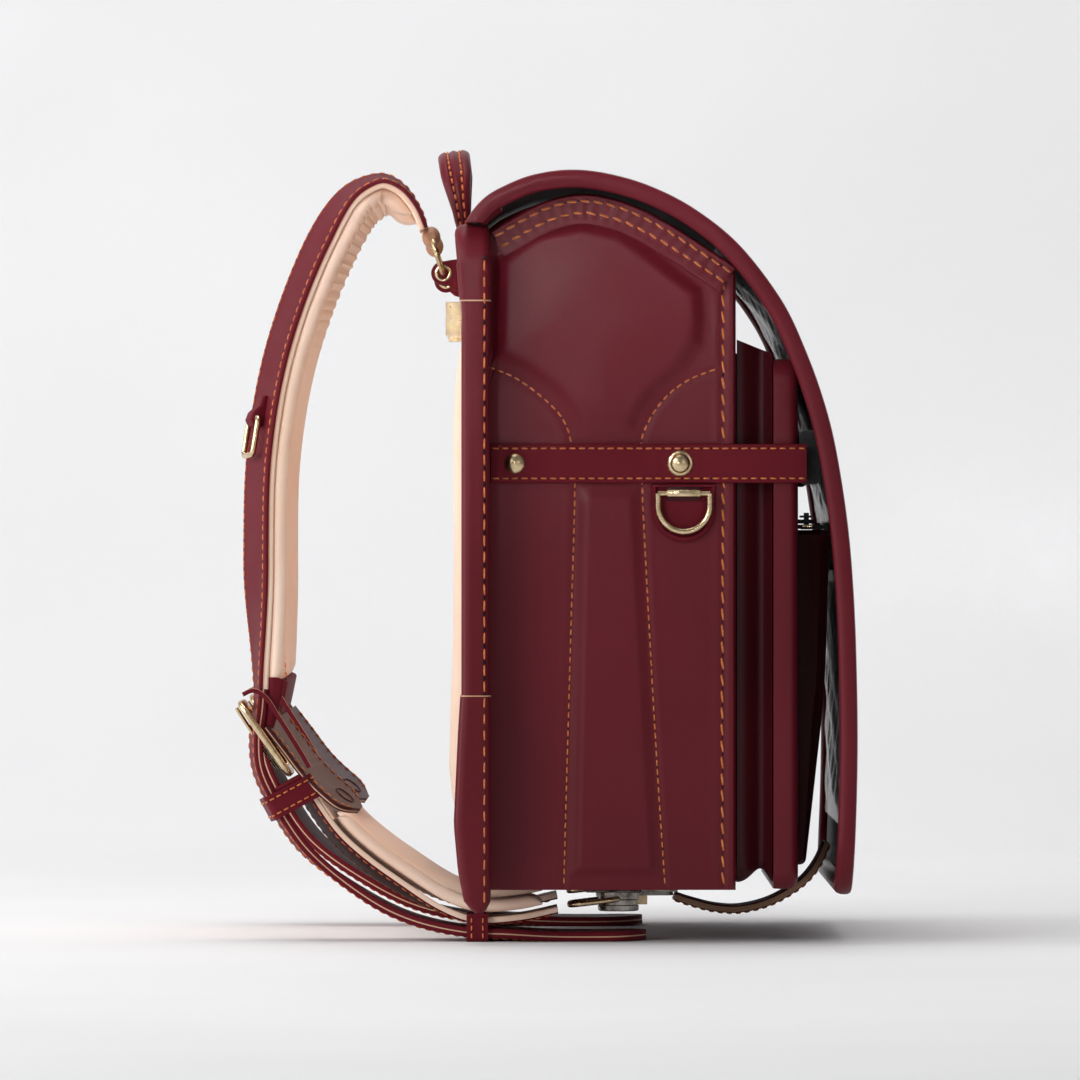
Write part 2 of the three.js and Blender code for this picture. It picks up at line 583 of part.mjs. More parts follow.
function makeStraps() {
  for (const [label, s] of SIDES) {
    const frameAt = beltFrames(STRAP_ROUTE, s, shoulderBank);
    const lowerAt = beltFrames(LOWER_ROUTE, s, lowerBank);
    const half = STRAP_WIDE / 2;

    const buckleDir = BUCKLE_LOW.clone().sub(BUCKLE_TOP);
    const buckleMid = BUCKLE_TOP.clone().add(BUCKLE_LOW).multiplyScalar(0.5);
    const bx = s * BELT_LOW_X;
    const frameHalf = buckleDir.length() / 2;
    const frame = leanInto(ovalRing(half + 5, frameHalf, 2.3, 5), buckleDir, bx, buckleMid.x, buckleMid.y);
    add(`buckle_frame_${label}`, frame, BRASS);

    const prongShape = roundedRect(-2, 2, -frameHalf - 1, frameHalf - 3.2, 1.6);
    const prong = new THREE.ExtrudeGeometry(prongShape, { depth: 2, bevelEnabled: false, curveSegments: 2 });
    add(`buckle_prong_${label}`, leanInto(prong.translate(0, 0, 2.7), buckleDir, bx, buckleMid.x, buckleMid.y), BRASS);
    const slotShape = roundedRect(-3, 3, -frameHalf - 1, frameHalf - 2, 1);
    const slot = new THREE.ExtrudeGeometry(slotShape, { depth: 8, bevelEnabled: false, curveSegments: 1 });
    leanInto(slot.translate(0, 0, 0.5), buckleDir, bx, buckleMid.x, buckleMid.y);

    const strap = cut(bentBand(frameAt, half, -STRAP_THICK, 0, 0, 1, STRAP_STEPS, 0.5), slot);
    const tab = cut(box(-5, 5, -2, 6, -7, 7), crossBar(2.1, -9, 9, 3.6, 4)).applyMatrix4(frameAt(DRING_T));
    add(`shoulder_strap_${label}`, join(strap, tab), LEATHER);
    const padIn = -STRAP_THICK - PAD_GAP;
    const pad = bentBand(
      frameAt, half, padIn - PAD_THICK, padIn, PAD_FROM / STRAP_STEPS, PAD_TO / STRAP_STEPS, PAD_TO - PAD_FROM,
    );
    add(`strap_pad_${label}`, pad, CREAM);

    const ringMid = new THREE.Vector2(...RING_EYE).addScaledVector(RING_UP, RING_LONG / 2);
    const ring = leanInto(ovalRing(12, RING_LONG / 2, WIRE, 7), RING_UP, s * BELT_TOP_X, ringMid.x, ringMid.y);
    add(`strap_ring_${label}`, ring, BRASS);
    const postRing = leanInto(
      ovalRing(15, 11.5, WIRE, 6), new THREE.Vector2(1, -0.12), bx, POST_Y + 11.7, POST_EYE_Z - 1.4,
    );
    add(`bottom_ring_${label}`, postRing, BRASS);

    add(`keeper_upper_${label}`, keeper(half + 1, -21.5, 0.6, 1.6, 12).applyMatrix4(frameAt(KEEPER_T)), LEATHER);
    const lowerHalf = LOWER_WIDE / 2;
    const lowerIn = -LOWER_THICK - LOWER_GAP;
    const lowerBelt = bentBand(lowerAt, lowerHalf, -LOWER_THICK, 0, 0, 1, LOWER_STEPS);
    const sleeve = cut(
      box(bx - half - 2.6, bx + half + 2.6, 29.2, 39.8, 0, 13.2),
      box(bx - half - 1, bx + half + 1, 28, 41, 1.6, 11.5),
    );
    add(`lower_belt_${label}`, join(lowerBelt, sleeve), LEATHER);
    const lowerPad = bentBand(
      lowerAt, lowerHalf + 1, lowerIn - LOWER_PAD_THICK, lowerIn,
      LOWER_PAD_FROM / LOWER_STEPS, LOWER_PAD_TO / LOWER_STEPS, LOWER_PAD_TO - LOWER_PAD_FROM,
    );
    add(`lower_pad_${label}`, lowerPad, CREAM);

    const shield = bentBand(
      beltFrames(SHIELD_ROUTE, s, () => LOW_BANK), half + 1, -SHIELD_THICK, 0, 0, 1, SHIELD_STEPS, 0.4,
    );
    add(`buckle_shield_${label}`, shield, DARK_LEATHER);

    const dring = ovalRing(8, 9, 1.4, 2.4).rotateX(Math.PI / 2);
    dring.translate(0, 3.6, 13).applyMatrix4(frameAt(DRING_T));
    add(`strap_dring_${label}`, dring, BRASS);
  }
}

makeBack();
makeBody();
makePockets();
makeZipPocket();
makeSideBelts();
makeFlap();
makeLock();
makeHandle();
makeFittings();
makeStraps();

// The drawing above starts from the back flange; this puts the origin under the middle of the whole bag.
group.position.y = -CENTRE_Y;

export default group;
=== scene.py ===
import math
import random

import bmesh
import bpy
import numpy as np
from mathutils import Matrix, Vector


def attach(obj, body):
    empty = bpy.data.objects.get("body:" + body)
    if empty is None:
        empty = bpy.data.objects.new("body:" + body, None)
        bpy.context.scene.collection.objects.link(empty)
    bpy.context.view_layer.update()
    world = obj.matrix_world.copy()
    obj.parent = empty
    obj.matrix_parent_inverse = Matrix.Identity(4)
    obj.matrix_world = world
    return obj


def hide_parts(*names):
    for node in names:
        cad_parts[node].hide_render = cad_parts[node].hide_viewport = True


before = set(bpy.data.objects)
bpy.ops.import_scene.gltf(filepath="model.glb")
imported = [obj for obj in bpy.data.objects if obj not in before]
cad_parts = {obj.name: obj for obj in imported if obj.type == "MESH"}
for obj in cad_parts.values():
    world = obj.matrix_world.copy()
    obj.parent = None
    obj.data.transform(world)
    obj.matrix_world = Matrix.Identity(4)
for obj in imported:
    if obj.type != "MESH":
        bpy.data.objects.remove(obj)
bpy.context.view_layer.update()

# School satchel backpack: the looks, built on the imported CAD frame.
# Lengths below are millimetres in the CAD's drawing frame, which SHIFT_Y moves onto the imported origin.
MM = 0.001
SHIFT_Y = -2.92
scene = bpy.context.scene
random.seed(4)
SIDES = (("left", -1), ("right", 1))

# ---------------------------------------------------------------- camera
camera = bpy.data.objects.new("camera", bpy.data.cameras.new("camera"))
scene.collection.objects.link(camera)
camera.location = (-4.5, 0.0018, 0.191)
camera.rotation_euler = (math.pi / 2, 0, -math.pi / 2)
camera.data.sensor_width = 36
camera.data.lens = 308
camera.data.clip_end = 20
scene.camera = camera
scene.view_settings.view_transform = "Standard"


# ---------------------------------------------------------------- materials
def linear(r, g, b):
    """Scene colour from 0-255 display values."""
    out = []
    for value in (r, g, b):
        value /= 255
        out.append(value / 12.92 if value <= 0.04045 else ((value + 0.055) / 1.055) ** 2.4)
    return (*out, 1)


class Finish:
    """A material under construction: its node tree, its shader and object coordinates."""

    def __init__(self, name):
        self.material = bpy.data.materials.new(name)
        self.material.use_nodes = True
        self.tree = self.material.node_tree
        self.shader = self.tree.nodes["Principled BSDF"]
        self.coords = self.tree.nodes.new("ShaderNodeTexCoord").outputs["Object"]
        self.height = None

    def node(self, kind, **inputs):
        node = self.tree.nodes.new(kind)
        for key, value in inputs.items():
            socket = node.inputs[key.replace("_", " ")]
            if isinstance(value, bpy.types.NodeSocket):
                self.tree.links.new(value, socket)
            else:
                socket.default_value = value
        return node

    def noise(self, scale, detail=3.0, rough=0.55):
        node = self.node("ShaderNodeTexNoise", Vector=self.coords, Scale=scale, Detail=detail,
                         Roughness=rough)
        return node.outputs["Fac"]

    def cells(self, scale):
        return self.node("ShaderNodeTexVoronoi", Vector=self.coords, Scale=scale).outputs["Distance"]

    def ramp(self, factor, *stops):
        node = self.node("ShaderNodeValToRGB", Fac=factor)
        points = node.color_ramp.elements
        while len(points) < len(stops):
            points.new(0.5)
        for point, (place, colour) in zip(points, stops):
            point.position = place
            point.color = linear(*colour)
        return node.outputs["Color"]

    def spread(self, factor, low, high):
        node = self.node("ShaderNodeMapRange", Value=factor)
        node.inputs["To Min"].default_value = low
        node.inputs["To Max"].default_value = high
        return node.outputs["Result"]

    def colour(self, socket):
        self.tree.links.new(socket, self.shader.inputs["Base Color"])

    def roughness(self, socket):
        self.tree.links.new(socket, self.shader.inputs["Roughness"])

    def bump(self, height, distance_mm, strength=1.0):
        node = self.node("ShaderNodeBump", Height=height, Strength=strength, Distance=distance_mm * MM)
        if self.height:
            self.tree.links.new(self.height, node.inputs["Normal"])
        self.height = node.outputs["Normal"]
        self.tree.links.new(self.height, self.shader.inputs["Normal"])

    def set(self, **values):
        for key, value in values.items():
            self.shader.inputs[key.replace("_", " ")].default_value = value
        return self.material


PORE_DEPTH = 0.035


def leather(name, dark, middle, light, rough=(0.30, 0.42), shine=0.2):
    """Smooth finished cowhide: cloudy dye, fine pores and faint long creases."""
    finish = Finish(name)
    cloud = finish.noise(9, 3, 0.5)
    finish.colour(finish.ramp(cloud, (0.22, dark), (0.52, middle), (0.85, light)))
    finish.roughness(finish.spread(finish.noise(60, 3), *rough))
    finish.bump(finish.cells(1500), PORE_DEPTH, 0.35)
    finish.bump(finish.noise(260, 5), PORE_DEPTH * 1.6, 0.35)
    finish.bump(finish.noise(16, 2), 0.35, 0.2)
    return finish.set(Specular_IOR_Level=shine)


def soft_leather(name, dark, middle, light):
    """Matt padded leather with fine wrinkles."""
    finish = Finish(name)
    finish.colour(finish.ramp(finish.noise(14, 3), (0.15, dark), (0.5, middle), (0.88, light)))
    finish.roughness(finish.spread(finish.noise(80, 3), 0.42, 0.58))
    finish.bump(finish.cells(900), 0.07, 0.4)
    finish.bump(finish.noise(170, 6), 0.22, 0.5)
    return finish.set(Specular_IOR_Level=0.4, Sheen_Weight=0.08, Sheen_Roughness=0.5)


def metal(name, dark, light, rough=(0.2, 0.38)):
    """Aged plated metal: cloudy tarnish and fine scratches."""
    finish = Finish(name)
    finish.colour(finish.ramp(finish.noise(130, 5, 0.65), (0.32, dark), (0.62, light)))
    finish.roughness(finish.spread(finish.noise(420, 4), *rough))
    finish.bump(finish.noise(700, 4), 0.04, 0.4)
    return finish.set(Metallic=1.0)


def fabric(name, dark, light):
    """Woven cloth with a soft crinkle."""
    finish = Finish(name)
    finish.colour(finish.ramp(finish.noise(240, 4), (0.3, dark), (0.7, light)))
    finish.bump(finish.cells(900), 0.25, 0.6)
    finish.bump(finish.noise(70, 4), 0.6, 0.4)
    return finish.set(Roughness=0.88, Sheen_Weight=0.25, Sheen_Roughness=0.5)


def thread(name, dark, light):
    """Waxed sewing thread."""
    finish = Finish(name)
    finish.colour(finish.ramp(finish.noise(900, 3), (0.3, dark), (0.7, light)))
    finish.bump(finish.cells(3200), 0.12, 0.7)
    return finish.set(Roughness=0.5, Sheen_Weight=0.1, Sheen_Roughness=0.4)


def clear_sheet(name):
    """Clear soft vinyl with cloudy gloss."""
    finish = Finish(name)
    finish.colour(finish.ramp(finish.noise(40, 3), (0.3, (200, 202, 206)), (0.7, (245, 246, 248))))
    finish.roughness(finish.spread(finish.noise(90, 3), 0.05, 0.16))
    finish.bump(finish.noise(45, 4), 1.6, 0.7)
    return finish.set(Alpha=0.28, IOR=1.5, Specular_IOR_Level=0.9)


PANEL = leather("burgundy_panel", (90, 17, 28), (99, 21, 33), (108, 27, 40), (0.36, 0.46), 0.22)
RIM = leather("burgundy_edge", (88, 17, 27), (97, 21, 32), (106, 27, 39), (0.34, 0.44), 0.18)
BELT = leather("burgundy_belt", (90, 18, 28), (99, 23, 34), (108, 29, 41), (0.5, 0.62), 0.08)
# Dark burgundy; on the hollow pocket gusset this darkness is painted shade.
DARK_AND_SHADE = leather("dark_burgundy_and_painted_shade", (52, 8, 14), (62, 11, 18), (72, 16, 23), (0.34, 0.44))
# Burgundy darkened nearly to black for the zip pocket, whose side lies in shade: painted shade.
ZIP_POCKET_SHADE = leather("burgundy_painted_shade", (38, 6, 10), (46, 9, 13), (54, 12, 17), (0.46, 0.56), 0.12)
SHIELD_HIDE = leather("brown_burgundy", (56, 18, 21), (68, 24, 27), (80, 31, 34), (0.34, 0.46), 0.3)
NATURAL = leather("natural_edge", (176, 132, 104), (206, 164, 134), (226, 190, 164), (0.5, 0.62))
CREAM = soft_leather("cream_pad", (234, 196, 168), (244, 212, 189), (250, 226, 208))
TAN = soft_leather("tan_lining", (160, 110, 82), (190, 140, 110), (212, 168, 140))
LINING = fabric("black_lining", (8, 8, 10), (26, 26, 29))
THREAD = thread("orange_thread", (176, 84, 30), (228, 136, 68))
# Needle holes: near-black discs that stand in for the shade inside each hole, painted shade.
HOLE_SHADE = leather("needle_hole_shade", (14, 3, 5), (18, 4, 6), (24, 6, 8), (0.6, 0.7))
NEEDLE_HOLE = 0.4  # radius, as a share of the gap between two stitches
BRASS = metal("aged_brass", (184, 160, 122), (222, 200, 162), (0.2, 0.32))
BLACK_METAL = metal("black_zip_metal", (22, 21, 22), (58, 56, 56))
STEEL = metal("dark_steel", (70, 66, 62), (168, 162, 154))
VINYL = clear_sheet("clear_vinyl")


# ---------------------------------------------------------------- mesh helpers
def place(x, y, z):
    """A point of the drawing frame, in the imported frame's metres."""
    return Vector((x * MM, (y + SHIFT_Y) * MM, z * MM))


def smoothstep(value, low, high):
    value = min(max((value - low) / (high - low), 0.0), 1.0)
    return value * value * (3 - 2 * value)


def lerp(a, b, t):
    return a + (b - a) * t


def turns(count):
    """Angles spaced evenly round a full turn."""
    return [2 * math.pi * j / count for j in range(count)]


def quarter_rounds(u0, u1, v0, v1, arc):
    """(u, v, angle) along four quarter rounds, whose centres are the corners of a rectangle."""
    spots = []
    for u, v, start in ((u1, v1, 0), (u0, v1, 90), (u0, v0, 180), (u1, v0, 270)):
        for step in range(arc + 1):
            spots.append((u, v, math.radians(start + 90 * step / arc)))
    return spots


def edge_depth(ring, index):
    """Mean depth of the section's edge that face number index of a loft runs along."""
    j = index % len(ring)
    return (ring[j][1] + ring[(j + 1) % len(ring)][1]) / 2


def build(name, verts, faces, body, slot, materials, stands_for=(), face_material=None, sharp=40):
    """One piece from points of the drawing frame. face_material gives the material number of a face."""
    mesh = bpy.data.meshes.new(name)
    mesh.from_pydata([place(*v) for v in verts], [], faces)
    obj = bpy.data.objects.new(name, mesh)
    scene.collection.objects.link(obj)
    for material in materials:
        mesh.materials.append(material)
    if face_material:
        for polygon in mesh.polygons:
            polygon.material_index = face_material(polygon.index)
    work = bmesh.new()
    work.from_mesh(mesh)
    bmesh.ops.recalc_face_normals(work, faces=work.faces)
    work.to_mesh(mesh)
    work.free()
    mesh.shade_smooth()
    mesh.set_sharp_from_angle(angle=math.radians(sharp))
    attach(obj, body)
    if stands_for:
        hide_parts(*stands_for)
    return obj


def loft(rings, closed_path=False):
    """Faces between successive closed rings of points, with a cap on each open end."""
    size = len(rings[0])
    count = len(rings)
    verts = [point for ring in rings for point in ring]
    faces = []
    for i in range(count if closed_path else count - 1):
        a = i * size
        b = ((i + 1) % count) * size
        for j in range(size):
            k = (j + 1) % size
            faces.append((a + j, a + k, b + k, b + j))
    if not closed_path:
        faces.append(tuple(reversed(range(size))))
        faces.append(tuple(range((count - 1) * size, count * size)))
    return verts, faces


def slab(outer, inner, keep=None):
    """Solid between two grids of points of one size. keep says which cells are there."""
    rows = len(outer)
    columns = len(outer[0])
    keep = keep or (lambda i, j: True)
    verts = [point for row in outer for point in row] + [point for row in inner for point in row]
    back = rows * columns
    faces = []
    kinds = []

    def kept(i, j):
        return 0 <= i < rows - 1 and 0 <= j < columns - 1 and keep(i, j)

    for i in range(rows - 1):
        for j in range(columns - 1):
            if not kept(i, j):
                continue
            a = i * columns + j
            corners = (a, a + 1, a + columns + 1, a + columns)
            faces.append(corners)
            kinds.append(0)
            faces.append(tuple(back + c for c in reversed(corners)))
            kinds.append(1)
            for side, (di, dj) in enumerate(((-1, 0), (0, 1), (1, 0), (0, -1))):
                if not kept(i + di, j + dj):
                    p = corners[side]
                    q = corners[(side + 1) % 4]
                    faces.append((q, p, back + p, back + q))
                    kinds.append(2)
    used = sorted({index for face in faces for index in face})
    order = {old: new for new, old in enumerate(used)}
    return [verts[index] for index in used], [tuple(order[c] for c in face) for face in faces], kinds


def rounded(half, n0, n1, radius, crown=0.0, across=6, arc=4):
    """Rounded bar section as (w, n): from n0 to n1, 2 * half wide, its n0 face swollen by crown."""
    radius = min(radius, half, (n1 - n0) / 2)
    ring = []
    corners = ((half - radius, n0 + radius, -90), (half - radius, n1 - radius, 0),
               (-half + radius, n1 - radius, 90), (-half + radius, n0 + radius, 180))
    for w, n, start in corners:
        for step in range(arc + 1):
            angle = math.radians(start + 90 * step / arc)
            ring.append((w + radius * math.cos(angle), n + radius * math.sin(angle)))
        flat = half - radius
        if start in (0, 180):
            sign = 1 if start == 0 else -1
            edge = n1 if start == 0 else n0
            for step in range(1, across):
                ring.append((sign * lerp(flat, -flat, step / across), edge))
    swollen = []
    for w, n in ring:
        share = (n1 - n) / (n1 - n0)
        swollen.append((w, n - crown * share * (1 - (w / half) ** 2)))
    return swollen


class Route:
    """A smooth curve through points, walked by length: t runs from 0 to 1."""

    def __init__(self, points, centripetal=False, per_span=24):
        points = [Vector(p) for p in points]
        self.samples = []
        last = len(points) - 1
        for i in range(last):
            p1 = points[i]
            p2 = points[i + 1]
            if centripetal:
                p0 = points[i - 1] if i else p1 * 2 - p2
                p3 = points[i + 2] if i + 2 <= last else p2 * 2 - p1
            else:
                p0 = points[max(i - 1, 0)]
                p3 = points[min(i + 2, last)]
            for step in range(per_span + (i == last - 1)):
                u = step / per_span
                self.samples.append(self.blend(p0, p1, p2, p3, u, centripetal))
        self.walked = [0.0]
        for a, b in zip(self.samples, self.samples[1:]):
            self.walked.append(self.walked[-1] + (b - a).length)
        self.length = self.walked[-1]

    @staticmethod
    def blend(p0, p1, p2, p3, u, centripetal):
        if centripetal:
            d0 = max((p1 - p0).length, 1e-6) ** 0.5
            d1 = max((p2 - p1).length, 1e-6) ** 0.5
            d2 = max((p3 - p2).length, 1e-6) ** 0.5
            m1 = ((p1 - p0) / d0 - (p2 - p0) / (d0 + d1) + (p2 - p1) / d1) * d1
            m2 = ((p2 - p1) / d1 - (p3 - p1) / (d1 + d2) + (p3 - p2) / d2) * d1
        else:
            m1 = (p2 - p0) / 2
            m2 = (p3 - p1) / 2
        c2 = -3 * p1 + 3 * p2 - 2 * m1 - m2
        c3 = 2 * p1 - 2 * p2 + m1 + m2
        return p1 + m1 * u + c2 * u * u + c3 * u * u * u

    def at(self, t):
        target = min(max(t, 0.0), 1.0) * self.length
        index = int(np.searchsorted(self.walked, target, side="right")) - 1
        index = min(max(index, 0), len(self.samples) - 2)
        span = self.walked[index + 1] - self.walked[index]
        share = (target - self.walked[index]) / span if span else 0.0
        return self.samples[index].lerp(self.samples[index + 1], share)

    def tangent(self, t):
        step = 0.6 / self.length
        return (self.at(min(t + step, 1)) - self.at(max(t - step, 0))).normalized()


STITCH_SIDES = 6
STITCH_LIFT = 0.35
STITCH_PROFILE = ((-0.5, 0.35, -0.5), (-0.38, 0.85, 0.35), (0.0, 1.0, 0.6),
                  (0.38, 0.85, 0.35), (0.5, 0.35, -0.5))  # (travel, thickness, rise), as shares
HOLE_PROFILE = ((-0.4, 1.0), (0.04, 0.8))  # (rise, share of the hole's radius)


def stitch_rows(name, rows, body, pitch, long, radius, slant=0.0):
    """Thread stitches with needle holes between them; each hole is a near-black disc, painted shade. A row is
    a list of (point, outward normal).
    """
    sides = STITCH_SIDES
    verts = []
    faces = []
    kinds = []
    for row in rows:
        route = [Vector(point) for point, _ in row]
        normals = [Vector(normal) for _, normal in row]
        walked = np.cumsum([0.0] + [(b - a).length for a, b in zip(route, route[1:])])
        count = int(walked[-1] / pitch)
        if count < 1:
            continue
        step = walked[-1] / count
        for index in range(count):
            target = (index + 0.5) * step
            k = min(int(np.searchsorted(walked, target, side="right")) - 1, len(route) - 2)
            share = (target - walked[k]) / max(walked[k + 1] - walked[k], 1e-9)
            middle = route[k].lerp(route[k + 1], share)
            out = normals[k].lerp(normals[k + 1], share).normalized()
            along = (route[k + 1] - route[k]).normalized()
            aside = along.cross(out).normalized()
            angle = slant + random.uniform(-0.05, 0.05)
            direction = along * math.cos(angle) + aside * math.sin(angle)
            across = direction.cross(out).normalized()
            base = len(verts)
            for travel, wide, rise in STITCH_PROFILE:
                centre = middle + direction * (travel * long) + out * (STITCH_LIFT * rise + radius * 0.2)
                for turn in turns(sides):
                    verts.append(centre + across * (math.cos(turn) * radius * wide)
                                 + out * (math.sin(turn) * radius * wide))
            rings = len(STITCH_PROFILE)
            for i in range(rings - 1):
                for j in range(sides):
                    a = base + i * sides + j
                    b = base + i * sides + (j + 1) % sides
                    faces.append((a, b, b + sides, a + sides))
            faces.append(tuple(base + j for j in reversed(range(sides))))
            faces.append(tuple(base + (rings - 1) * sides + j for j in range(sides)))
            kinds += [0] * (len(faces) - len(kinds))
            base = len(verts)
            # Needle hole: a near-black disc between two stitches, painted shade.
            centre = middle + along * (step / 2)
            reach = max((pitch - long) * NEEDLE_HOLE, 0.3)
            for rise, share in HOLE_PROFILE:
                for turn in turns(sides):
                    verts.append(centre + aside * (math.cos(turn) * reach * share * 0.8) + out * rise
                                 + along * (math.sin(turn) * reach * share))
            for j in range(sides):
                k = (j + 1) % sides
                faces.append((base + j, base + k, base + sides + k, base + sides + j))
            faces.append(tuple(base + j for j in reversed(range(sides))))
            faces.append(tuple(base + sides + j for j in range(sides)))
            kinds += [1] * (sides + 2)
    build(name, verts, faces, body, None, [THREAD, HOLE_SHADE], face_material=lambda index: kinds[index], sharp=80)


def tube(points, radius, closed=False, sides=12, flat=1.0, across=None):
    """Round or flattened wire along points; across is the wire's wide direction."""
    points = [Vector(p) for p in points]
    count = len(points)
    rings = []
    for i, point in enumerate(points):
        after = points[(i + 1) % count] if closed or i + 1 < count else point
        before = points[i - 1] if closed or i else point
        along = (after - before).normalized()
        side = Vector(across).normalized() if across else Vector((1, 0, 0))
        if abs(side.dot(along)) > 0.95:
            side = Vector((0, 0, 1))
        out = along.cross(side).normalized()
        side = out.cross(along).normalized()
        rings.append([point + side * (math.cos(a) * radius) + out * (math.sin(a) * radius * flat)
                      for a in turns(sides)])
    return loft(rings, closed_path=closed)


def join_meshes(*parts):
    verts = []
    faces = []
    for part_verts, part_faces in parts:
        base = len(verts)
        verts.extend(part_verts)
        faces.extend(tuple(base + c for c in face) for face in part_faces)
    return verts, faces


def lathe(profile, centre, axis, steps=28):
    """Turned shape: profile gives (radius, travel along the axis) from the centre."""
    axis = Vector(axis).normalized()
    side = axis.orthogonal().normalized()
    other = axis.cross(side)
    rings = []
    for radius, travel in profile:
        radius = max(radius, 0.02)
        rings.append([Vector(centre) + axis * travel + (side * math.cos(a) + other * math.sin(a)) * radius
                      for a in turns(steps)])
    return loft(rings)


def rounded_box(x0, x1, y0, y1, z0, z1, radius, arc=3):
    """Box with round vertical edges and softened top and bottom."""
    rings = []
    for z, inset in ((z0, radius * 0.6), (z0 + radius * 0.25, radius * 0.15), (z0 + radius * 0.6, 0),
                     (z1 - radius * 0.6, 0), (z1 - radius * 0.25, radius * 0.15), (z1, radius * 0.6)):
        ring = []
        reach = max(radius - inset, 0.05)
        for cx, cy, angle in quarter_rounds(x0 + radius, x1 - radius, y0 + radius, y1 - radius, arc):
            ring.append((cx + reach * math.cos(angle), cy + reach * math.sin(angle), z))
        rings.append(ring)
    return loft(rings)


def side_box(s, x0, x1, *rest):
    """Rounded box on one side of the bag, between two distances from its middle."""
    return rounded_box(min(s * x0, s * x1), max(s * x0, s * x1), *rest)


# ---------------------------------------------------------------- side panels
PANEL_X = 125.0
PANEL_LOW = 25.3
PANEL_BACK = 33.5
PANEL_FRONT = -88.0
SIDE_TOP = Route([(28.1, 337.6, 0), (4.7, 350.5, 0), (-14.4, 355, 0), (-33, 352, 0), (-49.4, 345, 0),
                  (-66.9, 334.5, 0), (-88, 320.5, 0)])
SHIELD = ((24.7, 323.7), (6, 337), (-14.7, 342), (-34, 338.5), (-70.9, 309.7), (-72.5, 296), (-70.9, 283),
          (-63, 272), (-49.8, 261.4), (-41, 248.2), (-38, 234), (-40, 217), (-50, 33), (-11, 33), (-15, 217),
          (-15.6, 234), (-11.2, 248.2), (-1.5, 261.4), (11.6, 271), (25.6, 278))
NECK_Z = (212, 268)  # the emboss turns from the narrow pleat into the full shield between these heights
SEAM_BACK = Route([(29.6, 273.2, 0), (16, 267.5, 0), (2.8, 257.8, 0), (-6, 248.3, 0), (-10, 237, 0),
                   (-11.8, 217, 0), (-10, 150, 0), (-8, 80, 0), (-6.6, 27.5, 0)])
SEAM_FRONT = Route([(-78.8, 272, 0), (-65.6, 266.8, 0), (-55, 258.8, 0), (-47.2, 248, 0), (-43.3, 237, 0),
                    (-43.6, 217, 0), (-47, 150, 0), (-51, 80, 0), (-54.5, 27.5, 0)])
FRONT_SEAM_Y = -82.0
BELT_LOW = 218.0
BELT_HIGH = 236.5


def distance_to_lines(points, chain, closed=False):
    """Shortest distance from each point to a chain of straight lines."""
    chain = np.array(chain, float)
    starts = chain if closed else chain[:-1]
    ends = np.roll(chain, -1, axis=0) if closed else chain[1:]
    best = np.full(len(points), 1e9)
    for a, b in zip(starts, ends):
        edge = b - a
        share = np.clip(((points - a) @ edge) / (edge @ edge), 0, 1)
        best = np.minimum(best, np.linalg.norm(points - a - share[:, None] * edge, axis=1))
    return best


def inside(points, polygon):
    polygon = np.array(polygon, float)
    hit = np.zeros(len(points), bool)
    for (y0, z0), (y1, z1) in zip(polygon, np.roll(polygon, -1, axis=0)):
        crosses = (z0 > points[:, 1]) != (z1 > points[:, 1])
        where = y0 + (points[:, 1] - z0) * (y1 - y0) / (z1 - z0 if z1 != z0 else 1e-9)
        hit ^= crosses & (points[:, 0] < where)
    return hit


def smooth_array(values, low, high):
    values = np.clip((values - low) / (high - low), 0, 1)
    return values * values * (3 - 2 * values)


def panel_relief(points):
    """How far the side panel stands out of its plane at (y, z) points."""
    depth = distance_to_lines(points, SHIELD, closed=True)
    depth = np.where(inside(points, SHIELD), depth, -depth)
    upper = smooth_array(points[:, 1], *NECK_Z)
    shield = smooth_array(depth, -2.5, 6.5) * 3.8 + smooth_array(depth, 6, 34) * 1.4
    pleat = smooth_array(depth, -2.0, 4.0) * 2.6
    swell = shield * upper + pleat * (1 - upper)
    belt = smooth_array(points[:, 1], 208, 219) * (1 - smooth_array(points[:, 1], 236, 247))
    relief = swell * (1 - 0.8 * belt)
    for seam in (SEAM_BACK, SEAM_FRONT):
        line = [(p.x, p.y) for p in seam.samples[::6]]
        away = distance_to_lines(points, line)
        relief += -0.55 * np.exp(-((away / 1.3) ** 2)) + 0.25 * np.exp(-(((away - 3) / 1.6) ** 2))
    away = np.abs(points[:, 0] - FRONT_SEAM_Y)
    relief += -0.7 * np.exp(-((away / 1.4) ** 2)) + 0.3 * np.exp(-(((away - 3.2) / 1.6) ** 2))
    edge = PANEL_FRONT + 1.6
    relief -= np.clip((edge - points[:, 0]) / 1.6, 0, 1) ** 2 * 1.6
    return relief


def top_of_panel(y):
    heights = [(p.x, p.y) for p in reversed(SIDE_TOP.samples)]
    return float(np.interp(y, [h[0] for h in heights], [h[1] for h in heights]))


def flat_row(route, sign):
    """Row of (point, normal) on a side panel along a (y, z) route."""
    row = []
    spots = [route.at(i / 90) for i in range(91)]
    heights = panel_relief(np.array([(p.x, p.y) for p in spots]))
    for spot, height in zip(spots, heights):
        row.append(((sign * (PANEL_X + height), spot.x, spot.y), (sign, 0, 0)))
    return row


